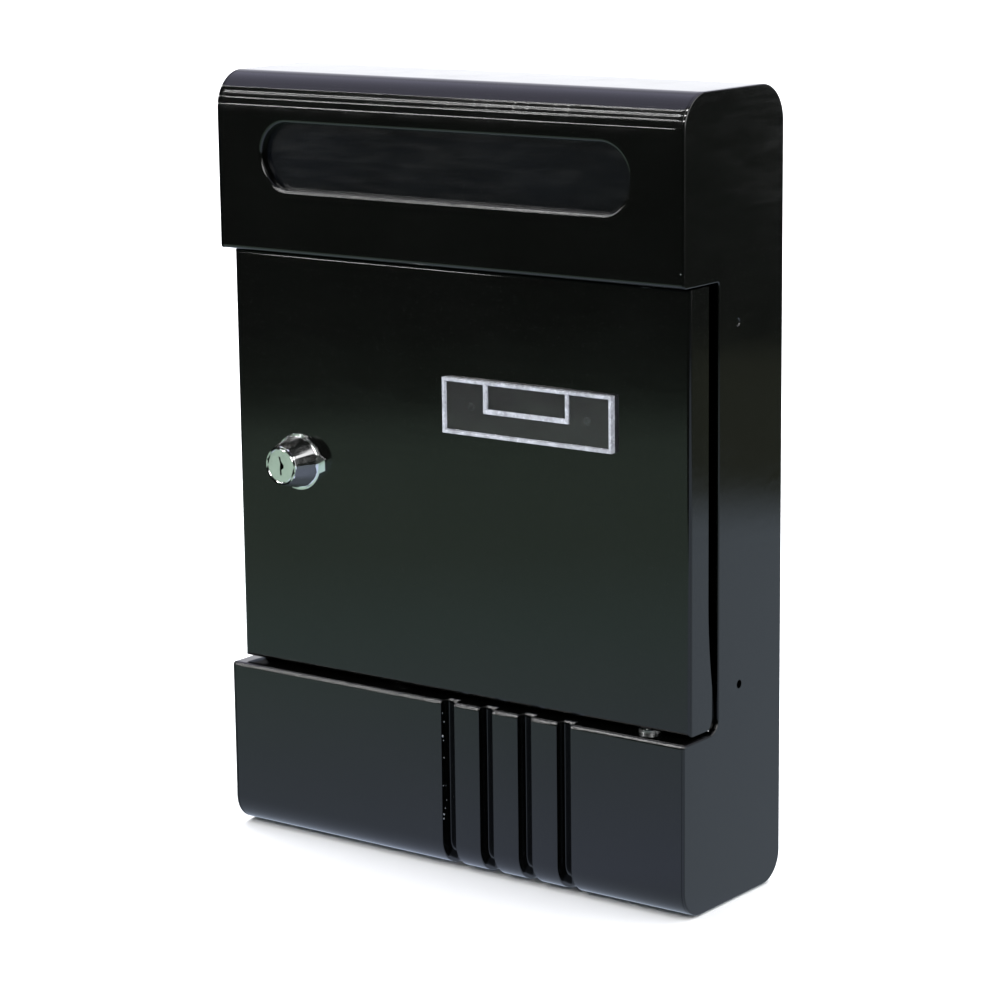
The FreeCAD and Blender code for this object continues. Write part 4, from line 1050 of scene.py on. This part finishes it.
@dataclass
class DoorLock:
    """The lock's faceted bezel with its barrel, the washer under it and the turning plug."""

    facets: int = 12
    base_radius: float = 10.2 * MM
    face_radius: float = 7.75 * MM
    rim: float = 1.2 * MM
    trim_wall: float = 0.6 * MM
    trim_radius: float = 11.0 * MM
    ear: float = 2.4 * MM
    barrel_radius: float = 9.0 * MM
    bore: float = 6.55 * MM
    plug_radius: float = 6.5 * MM
    keyway: tuple[tuple[float, float], ...] = (
        (-1.05, 3.6), (-0.25, 3.6), (0.15, 1.9), (1.35, 0.5), (1.35, -0.7),
        (0.2, -1.5), (0.35, -3.6), (-0.45, -3.6), (-0.55, -1.0), (-0.35, 0.9),
    )
    key_depth: float = 9.0 * MM
    tail_half: float = 2.5 * MM

    def __post_init__(self) -> None:
        """Read the lock's axis and reach from the frame."""
        low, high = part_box("lock_plug")
        self.axis = Vector(((low.x + high.x) / 2, 0.0, (low.z + high.z) / 2))
        self.face = low.y
        self.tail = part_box("lock_housing")[1].y
        self.door_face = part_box("door_panel")[0].y

    def ring(self, mesh: BMesh, radius: float, y: float, steps: int) -> list[BMEdge]:
        """A ring round the lock's axis."""
        return stadium(mesh, Vector((self.axis.x, y, self.axis.z)), 0.0, radius, -Y_AXIS, steps)

    def bezel(self, paint: Paintshop) -> Object:
        """Build the fixed housing: faceted cone, face ring, bore and barrel."""
        mesh = bmesh.new()
        steps = self.facets * 4
        seat = self.door_face - self.trim_wall
        profile = [
            (self.bore, self.tail), (self.barrel_radius - 0.3 * MM, self.tail),
            (self.barrel_radius, self.tail - 0.3 * MM), (self.barrel_radius, seat),
            (self.base_radius, seat), (self.base_radius, seat - self.rim),
            (self.face_radius, self.face + 0.35 * MM), (self.face_radius - 0.35 * MM, self.face),
            (self.bore + 0.2 * MM, self.face), (self.bore, self.face + 0.2 * MM),
        ]
        loops = [self.ring(mesh, radius, y, steps) for radius, y in profile]
        for first, second in zip(loops, [*loops[1:], loops[0]]):
            bmesh.ops.bridge_loops(mesh, edges=[*first, *second])
        across = []
        for face in mesh.faces:
            if (face.calc_center_median() - self.axis).cross(Y_AXIS).length < self.bore * 0.9:
                across.append(face)
        bmesh.ops.delete(mesh, geom=across, context="FACES_ONLY")
        self.cut_facets(mesh)
        bmesh.ops.recalc_face_normals(mesh, faces=mesh.faces)
        piece = finish_piece("lock_bezel", mesh, paint, Body.DOOR, Slot.CHROME, ["lock_housing"])
        crisp(piece, 12.0)
        return piece

    def cut_facets(self, mesh: BMesh) -> None:
        """Flatten the cone's round side to facets, less at its face."""
        half = math.pi / self.facets
        seat = self.door_face - self.trim_wall
        for vert in mesh.verts:
            off = vert.co - self.axis
            radius = math.hypot(off.x, off.z)
            if radius < self.face_radius - 0.05 * MM or vert.co.y > seat - 0.5 * self.rim:
                continue
            angle = math.atan2(off.z, off.x)
            local = (angle % (2 * half)) - half
            flat = math.cos(half) / math.cos(local)
            wanted = radius * flat
            vert.co.x += off.x / radius * (wanted - radius)
            vert.co.z += off.z / radius * (wanted - radius)

    def washer(self, paint: Paintshop) -> Object:
        """Build the bright washer with its locating ear."""
        mesh = bmesh.new()
        rear, front = self.door_face, self.door_face - self.trim_wall
        hole = self.barrel_radius + 0.1 * MM
        outer = [self.ring(mesh, self.trim_radius, y, 48) for y in (rear, front)]
        inner = [self.ring(mesh, hole, y, 48) for y in (rear, front)]
        rings = [*outer, inner[1], inner[0]]
        for first, second in zip(rings, [*rings[1:], rings[0]]):
            bmesh.ops.bridge_loops(mesh, edges=[*first, *second])
        for vert in mesh.verts:
            off = vert.co - self.axis
            on_rim = math.hypot(off.x, off.z) > self.trim_radius - 0.1 * MM
            if on_rim and off.x > 0 and abs(off.z) < self.ear:
                vert.co.x = self.axis.x + self.trim_radius + self.ear
        bmesh.ops.recalc_face_normals(mesh, faces=mesh.faces)
        piece = finish_piece("lock_washer", mesh, paint, Body.DOOR, Slot.CHROME, ["lock_trim_washer"])
        soften(piece, 0.15 * MM)
        return piece

    def plug(self, paint: Paintshop) -> Object:
        """Build the plug with its shaped keyway, and its tail behind the barrel."""
        mesh = bmesh.new()
        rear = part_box("lock_plug")[1].y
        edge, side = self.plug_radius - 0.2 * MM, self.plug_radius
        places = [(edge, self.face), (side, self.face + 0.2 * MM), (side, self.tail)]
        loops = [self.ring(mesh, radius, y, 48) for radius, y in places]
        for first, second in zip(loops, loops[1:]):
            bmesh.ops.bridge_loops(mesh, edges=[*first, *second])
        corners = [(self.axis.x + x * MM, self.face, self.axis.z + z * MM) for x, z in self.keyway]
        key = [mesh.verts.new(corner) for corner in corners]
        edges = [mesh.edges.new((a, b)) for a, b in zip(key, [*key[1:], key[0]])]
        bmesh.ops.contextual_create(mesh, geom=loops[0])
        face_level = self.face

        def on_face(at: Vector) -> bool:
            """Whether a face closes the plug's front."""
            return at.y < face_level + 0.01 * MM

        open_window(mesh, on_face, [edges], -Y_AXIS)
        floor = draw_out(mesh, edges, 1, self.face + self.key_depth)
        bmesh.ops.triangle_fill(mesh, use_beauty=True, edges=floor, normal=-Y_AXIS)
        square = self.ring(mesh, self.tail_half * math.sqrt(2), self.tail, 4)
        bmesh.ops.triangle_fill(mesh, use_beauty=True, edges=[*loops[-1], *square], normal=Y_AXIS)
        bmesh.ops.contextual_create(mesh, geom=draw_out(mesh, square, 1, rear))
        bmesh.ops.recalc_face_normals(mesh, faces=mesh.faces)
        piece = finish_piece("lock_plug_face", mesh, paint, Body.LOCK, Slot.CHROME, ["lock_plug"])
        crisp(piece, 35.0)
        return piece

    def make(self, paint: Paintshop) -> None:
        """Build the lock's visible pieces.

        Args:
            paint: The finishes.
        """
        self.bezel(paint)
        self.washer(paint)
        self.plug(paint)


# ---------------------------------------------------------------- name holder, enamel chips and painted glints


@dataclass
class NameHolder:
    """The clear name holder: a rim round a sunk window, bars round its thumb notch, and two pegs."""

    wall: float = 2.6 * MM
    rim: float = 1.7 * MM
    slope: float = 0.4 * MM
    sunk: float = 1.1 * MM
    notch_start: float = 19.0 * MM
    notch_end: float = 57.6 * MM
    notch_depth: float = 12.2 * MM
    bar: float = 1.9 * MM
    peg_inset: float = 12.0 * MM
    peg_radius: float = 1.5 * MM

    def __post_init__(self) -> None:
        """Read the holder's box from the frame."""
        self.low, self.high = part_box("name_holder")

    def tray(self, mesh: BMesh) -> None:
        """Mould the plate, with its rim and its sunk window."""
        block(mesh, self.low, Vector((self.high.x, self.low.y + self.wall, self.high.z)))
        front = min(mesh.faces, key=lambda face: face.calc_center_median().y)
        bmesh.ops.inset_region(mesh, faces=[front], thickness=self.rim)
        bmesh.ops.inset_region(mesh, faces=[front], thickness=self.slope, depth=-self.sunk)
        rear = max(mesh.faces, key=lambda face: face.calc_center_median().y)
        # the plate's sides take the second material, the painted edge highlight
        for face in mesh.faces:
            face.material_index = 0 if face in (front, rear) else 1

    def bars(self, mesh: BMesh) -> None:
        """Mould the three bars round the thumb notch."""
        floor, face = self.low.y + self.sunk + 0.1 * MM, self.low.y + 0.15 * MM
        left, right = self.low.x + self.notch_start, self.low.x + self.notch_end
        top, foot = self.high.z - self.rim * 0.6, self.high.z - self.notch_depth
        rise = foot + self.bar
        for start, end, low, high in (
            (left, left + self.bar, rise, top),
            (right - self.bar * 0.75, right, rise, top),
            (left, right, foot, rise),
        ):
            verts = block(mesh, Vector((start, face, low)), Vector((end, floor, high)))
            # the bars take the painted edge highlight too
            for bar_face in {f for vert in verts for f in vert.link_faces}:
                bar_face.material_index = 1

    def make(self, paint: Paintshop) -> Object:
        """Build the holder.

        Args:
            paint: The finishes.

        Returns:
            The piece.
        """
        mesh = bmesh.new()
        self.tray(mesh)
        self.bars(mesh)
        reach = self.high.y - self.low.y - self.wall
        for x in (self.low.x + self.peg_inset, self.high.x - self.peg_inset):
            centre = Vector((x, self.high.y - reach / 2, (self.low.z + self.high.z) / 2))
            place = Matrix.Translation(centre) @ Matrix.Rotation(math.radians(90), 4, "X")
            round_peg = {"radius1": self.peg_radius, "radius2": self.peg_radius, "depth": reach}
            bmesh.ops.create_cone(mesh, cap_ends=True, segments=24, matrix=place, **round_peg)
        piece = finish_piece("name_holder_soft", mesh, paint, Body.DOOR, Slot.CLEAR, ["name_holder"])
        # second material: the painted highlight on the edges
        piece.data.materials.append(PAINTED_EDGE_HIGHLIGHT.make())
        soften(piece, 0.22 * MM)
        return piece


@dataclass
class ChipsAndPaintedGlints:
    """Small bright zinc specks: chips where the enamel has come off, (height, size) on the right seam, and
    painted glints, (depth, height, size) on the first groove's left wall, all in millimetres."""

    seam: tuple[tuple[float, float], ...] = (
        (133.7, 0.40), (107.2, 0.50), (105.0, 0.35), (90.2, 0.45), (87.4, 0.55), (84.6, 0.40),
    )
    # bright flecks on the first groove's left wall: painted glints
    groove: tuple[tuple[float, float, float], ...] = (
        (0.9, -88.6, 0.30), (1.6, -92.2, 0.45), (0.7, -97.6, 0.60), (1.2, -99.4, 0.40), (1.3, -106.3, 0.40),
        (0.7, -117.2, 0.30), (2.4, -117.6, 0.30), (2.6, -123.4, 0.30), (1.7, -126.4, 0.40),
        (0.8, -128.6, 0.55), (0.7, -130.4, 0.40),
    )
    groove_wall: float = -2.95

    def make(self, paint: Paintshop) -> Object:
        """Build the chips and the painted glints.

        Args:
            paint: The finishes.

        Returns:
            The piece.
        """
        low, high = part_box("body_wrap")
        spots = [(high.x - 0.6 * MM, low.y + 0.25 * MM, z * MM, size * MM) for z, size in self.seam]
        # the first groove's bright flecks are painted glints
        wall = self.groove_wall * MM
        spots += [(wall, low.y + depth * MM, z * MM, size * MM) for depth, z, size in self.groove]
        mesh = bmesh.new()
        for index, (x, y, z, size) in enumerate(spots):
            turn = Matrix.Rotation(index * 1.3, 4, "Y") @ Matrix.Diagonal((size, size * 0.6, size * 0.7, 1.0))
            place = Matrix.Translation((x, y, z)) @ turn
            bmesh.ops.create_icosphere(mesh, subdivisions=1, radius=1.0, matrix=place)
        return finish_piece("worn_spots", mesh, paint, Body.HOUSING, Slot.ZINC)


# ---------------------------------------------------------------- pieces that keep the frame's shape


@dataclass(frozen=True)
class SoftenedPart:
    """A CAD node whose shape is right, copied, merged and given soft edges."""

    node: str
    body: Body
    slot: Slot
    edge: float
    angle: float = 40.0

    def make(self, paint: Paintshop) -> Object:
        """Build the copy.

        Args:
            paint: The finishes.

        Returns:
            The piece.
        """
        mesh = bmesh.new()
        mesh.from_mesh(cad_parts[self.node].data)
        bmesh.ops.remove_doubles(mesh, verts=mesh.verts, dist=WELD)
        flat = {"angle_limit": math.radians(1.0), "use_dissolve_boundaries": False, "delimit": {"NORMAL"}}
        bmesh.ops.dissolve_limit(mesh, verts=mesh.verts, edges=mesh.edges, **flat)
        piece = finish_piece(f"{self.node}_soft", mesh, paint, self.body, self.slot, [self.node])
        soften(piece, self.edge, self.angle)
        return piece


SOFTENED = (
    SoftenedPart("letter_flap", Body.FLAP, Slot.FLAP, 0.12 * MM, 60.0),
    SoftenedPart("lock_nut", Body.DOOR, Slot.ZINC, 0.3 * MM),
    SoftenedPart("lock_cam", Body.LOCK, Slot.ZINC, 0.2 * MM),
    SoftenedPart("door_stop", Body.HOUSING, Slot.ENAMEL, 0.2 * MM),
    SoftenedPart("lock_strike", Body.HOUSING, Slot.ZINC, 0.2 * MM),
)


def dress_carried_nodes(paint: Paintshop) -> None:
    """Give every CAD node that still shows its detailed finish.

    Args:
        paint: The finishes.
    """
    slots = {slot.value: slot for slot in Slot}
    for name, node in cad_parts.items():
        if node.hide_render:
            continue
        for holder in node.material_slots:
            key = holder.material.name.split(".")[0]
            holder.material = paint[slots[key]]
        log.info("%s: dressed", name)


# ---------------------------------------------------------------- studio


@dataclass(frozen=True)
class Studio:
    """The pale floor, the soft lights and the camera."""

    azimuth: float = 36.79
    elevation: float = 11.92
    roll: float = -0.66
    target: tuple[float, float, float] = (4.29 * MM, -35.83 * MM, -10.04 * MM)
    distance: float = 1.2445
    lens: float = 117.84
    glow: Glow = (
        (-0.80, (0.15, 0.165, 0.12)), (-0.68, (0.60, 0.70, 0.80)), (-0.05, (0.62, 0.72, 0.84)),
        (0.05, (0.70, 0.80, 1.03)), (0.17, (0.62, 0.73, 0.85)), (0.30, (0.55, 0.70, 0.70)),
        (0.42, (0.48, 0.66, 0.60)), (0.60, (0.40, 0.53, 0.43)), (0.93, (0.38, 0.51, 0.41)),
        (1.07, (0.09, 0.11, 0.09)),
    )
    glow_half: float = 1.3
    wall_place: float = 1.9
    wall_size: tuple[float, float] = (4.4, 2.35)
    wall_glow: Glow = (
        (-0.15, (1.55, 1.57, 1.62)), (0.42, (1.50, 1.52, 1.60)), (0.72, (1.08, 1.08, 1.20)),
        (1.11, (0.84, 0.84, 0.98)), (1.60, (0.66, 0.66, 0.80)), (2.20, (0.55, 0.54, 0.68)),
    )
    ceiling_middle: Vector = Vector((-1.0, 0.64, 2.2))
    ceiling_size: tuple[float, float] = (4.4, 2.52)
    ceiling_glow: float = 0.82
    ceiling_colour: Colour = (0.95, 0.93, 1.25)
    strips: tuple[tuple[float, float, float, float], ...] = (
        (36.2, -2.1, -0.6, 60.0), (27.5, -1.35, -0.6, 55.0),
        (19.0, -2.1, -0.6, 55.0), (6.8, -2.2, -1.22, 50.0),
    )
    strip_reach: float = 1.8
    strip_width: float = 0.06
    softboxes: tuple[tuple[str, tuple[float, float, float], tuple[float, float], float], ...] = (
        ("front_softbox", (1.38, -1.16, 1.26), (1.4, 1.2), 5.0),
        ("right_softbox", (1.7, 0.5, 0.95), (2.2, 1.9), 2.6),
    )
    room: tuple[float, float, float, float] = (0.055, 0.062, 0.055, 1.0)

    def disc(self, name: str, radius: float, drop: float, material: Material) -> Object:
        """Lay a round sheet under the object.

        Args:
            name: Its name.
            radius: Its radius.
            drop: How far it lies below the object.
            material: Its finish.

        Returns:
            The sheet.
        """
        mesh = bmesh.new()
        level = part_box("body_wrap")[0].z - drop
        place = Matrix.Translation((0, 0, level))
        bmesh.ops.create_circle(mesh, cap_ends=True, segments=96, radius=radius, matrix=place)
        sheet = to_object(name, mesh, material)
        return sheet

    def floor(self) -> None:
        """Lay the pale floor, and the sheet that only the gloss sees in its place."""
        floor = self.disc("floor", 14.0, 0.6 * MM, Paper("floor_paper").make())
        floor.visible_glossy = False
        back = self.back_direction()
        front_left = Vector((-back.x, back.y, 0.0)).normalized()
        light = self.glow_finish("gloss_card_light", front_left, self.glow)
        card = self.disc("gloss_card", self.glow_half, 0.3 * MM, light)
        card.visible_camera = card.visible_diffuse = card.visible_shadow = False

    def wall(self) -> None:
        """Stand the rear card, which only the gloss sees and which grows dimmer with its height."""
        mesh = bmesh.new()
        wide, high = self.wall_size
        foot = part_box("body_wrap")[0].z
        middle = Matrix.Translation((self.ceiling_middle.x, self.wall_place, foot + high / 2))
        place = middle @ Matrix.Rotation(math.radians(90), 4, "X") @ Matrix.Diagonal((wide, high, 1, 1))
        bmesh.ops.create_grid(mesh, x_segments=1, y_segments=1, size=0.5, matrix=place)
        card = to_object("wall_card", mesh, self.glow_finish("wall_card_light", Z_AXIS, self.wall_glow))
        card.visible_camera = card.visible_diffuse = card.visible_shadow = False

    def glow_finish(self, name: str, direction: Vector, glow: Glow) -> Material:
        """A card's glowing finish.

        Args:
            name: Its name.
            direction: The way along which its brightness changes.
            glow: Places that way, each with its light.

        Returns:
            The material.
        """
        g = Graph(name)
        along = g.node("ShaderNodeVectorMath", operation="DOT_PRODUCT")
        g.tree.links.new(g.place, along.inputs[0])
        along.inputs[1].default_value = direction
        low, high = glow[0][0], glow[-1][0]
        ramp = g.node("ShaderNodeValToRGB", fac=g.ramp(along.outputs["Value"], low, high, 0.0, 1.0))
        stops = ramp.color_ramp.elements
        for index, (place, colour) in enumerate(glow):
            where = (place - low) / (high - low)
            stop = stops[index] if index < 2 else stops.new(where)
            stop.position, stop.color = where, (*colour, 1.0)
        g.set(base_color=(0.0, 0.0, 0.0, 1.0), specular_ior_level=0.0)
        g.set(emission_color=ramp.outputs[0], emission_strength=1.0)
        return g.material

    def area(
        self,
        name: str,
        place: Sequence[float],
        aim: Sequence[float],
        size: tuple[float, float],
        glow: float,
        colour: Colour = (1.0, 1.0, 1.0),
        glossy: bool = True,
    ) -> None:
        """Hang a soft rectangular light whose width runs as near along X as it can.

        Args:
            name: Its name.
            place: Where it hangs.
            aim: The point it faces.
            size: Its width and height.
            glow: Its radiance.
            colour: Its colour.
            glossy: Whether mirrors see it.
        """
        data = bpy.data.lights.new(name, "AREA")
        data.shape, data.size, data.size_y = "RECTANGLE", size[0], size[1]
        data.energy, data.color = glow * math.pi * size[0] * size[1], colour
        lamp = bpy.data.objects.new(name, data)
        away = (Vector(place) - Vector(aim)).normalized()
        side = (X_AXIS - X_AXIS.dot(away) * away).normalized()
        turn = Matrix((side, away.cross(side), away)).transposed().to_4x4()
        lamp.matrix_world = Matrix.Translation(place) @ turn
        lamp.visible_glossy = glossy
        lamp.visible_camera = False
        bpy.context.scene.collection.objects.link(lamp)

    def mirrored(self, tilt: float, reach: float, x: float) -> Vector:
        """A place that the top front bend mirrors to the camera.

        Args:
            tilt: The bend's tilt there, in degrees from upright.
            reach: Its distance from the bend, seen along X.
            x: Its place along X.

        Returns:
            The place.
        """
        low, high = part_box("body_wrap")
        bend = Vector((x, low.y, high.z))
        view = Vector(self.target) + self.back_direction() * self.distance - bend
        view.x = 0.0
        view.normalize()
        t = math.radians(tilt)
        normal = Vector((0.0, -math.cos(t), math.sin(t)))
        return bend + (2 * normal.dot(view) * normal - view) * reach

    def lights(self) -> None:
        """Hang the ceiling, the strips, the two softboxes and the floor's wash, and dim the room."""
        middle = self.ceiling_middle
        below = middle - Z_AXIS
        self.area("ceiling", middle, below, self.ceiling_size, self.ceiling_glow, self.ceiling_colour)
        top = Vector((0.0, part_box("body_wrap")[0].y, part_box("body_wrap")[1].z))
        for tilt, start, end, glow in self.strips:
            place = self.mirrored(tilt, self.strip_reach, (start + end) / 2)
            aim = Vector((place.x, top.y, top.z))
            self.area(f"strip_{tilt:.0f}", place, aim, (end - start, self.strip_width), glow)
        for name, place, size, glow in self.softboxes:
            self.area(name, place, (0.0, 0.0, 0.0), size, glow)
        self.area("floor_wash", (-2.0, 3.0, 4.0), (-2.0, 3.2, 0.0), (6.0, 6.0), 6.2, glossy=False)
        world = bpy.data.worlds.new("dim_room")
        world.use_nodes = True
        world.node_tree.nodes["Background"].inputs["Color"].default_value = self.room
        bpy.context.scene.world = world

    def back_direction(self) -> Vector:
        """The unit vector from the object to the camera."""
        a, e = math.radians(self.azimuth), math.radians(self.elevation)
        return Vector((math.sin(a) * math.cos(e), -math.cos(a) * math.cos(e), math.sin(e)))

    def camera(self) -> None:
        """Set the camera."""
        a, r = math.radians(self.azimuth), math.radians(self.roll)
        back = self.back_direction()
        right = Vector((math.cos(a), math.sin(a), 0.0))
        up = back.cross(right)
        across = right * math.cos(r) + up * math.sin(r)
        above = -right * math.sin(r) + up * math.cos(r)
        data = bpy.data.cameras.new("camera")
        data.lens, data.sensor_width = self.lens, 36.0
        data.clip_start, data.clip_end = 0.05, 60.0
        camera = bpy.data.objects.new("camera", data)
        turn = Matrix((across, above, back)).transposed().to_4x4()
        camera.matrix_world = Matrix.Translation(Vector(self.target) + back * self.distance) @ turn
        bpy.context.scene.collection.objects.link(camera)
        bpy.context.scene.camera = camera

    def make(self) -> None:
        """Set up the floor, the lights, the camera and the view."""
        self.floor()
        self.wall()
        self.lights()
        self.camera()
        bpy.context.scene.view_settings.view_transform = "Standard"


# ---------------------------------------------------------------- main


def main() -> None:
    """Build the mailbox and the studio."""
    logging.basicConfig(level=logging.INFO, format="%(name)s %(message)s")
    paint = Paintshop()
    HousingWrap().make(paint)
    for side in Side:
        EndCap(side).make(paint)
    DoorPanel().make(paint)
    DoorLock().make(paint)
    NameHolder().make(paint)
    ChipsAndPaintedGlints().make(paint)
    for part in SOFTENED:
        part.make(paint)
    dress_carried_nodes(paint)
    Studio().make()


if __name__ == "__main__":
    main()
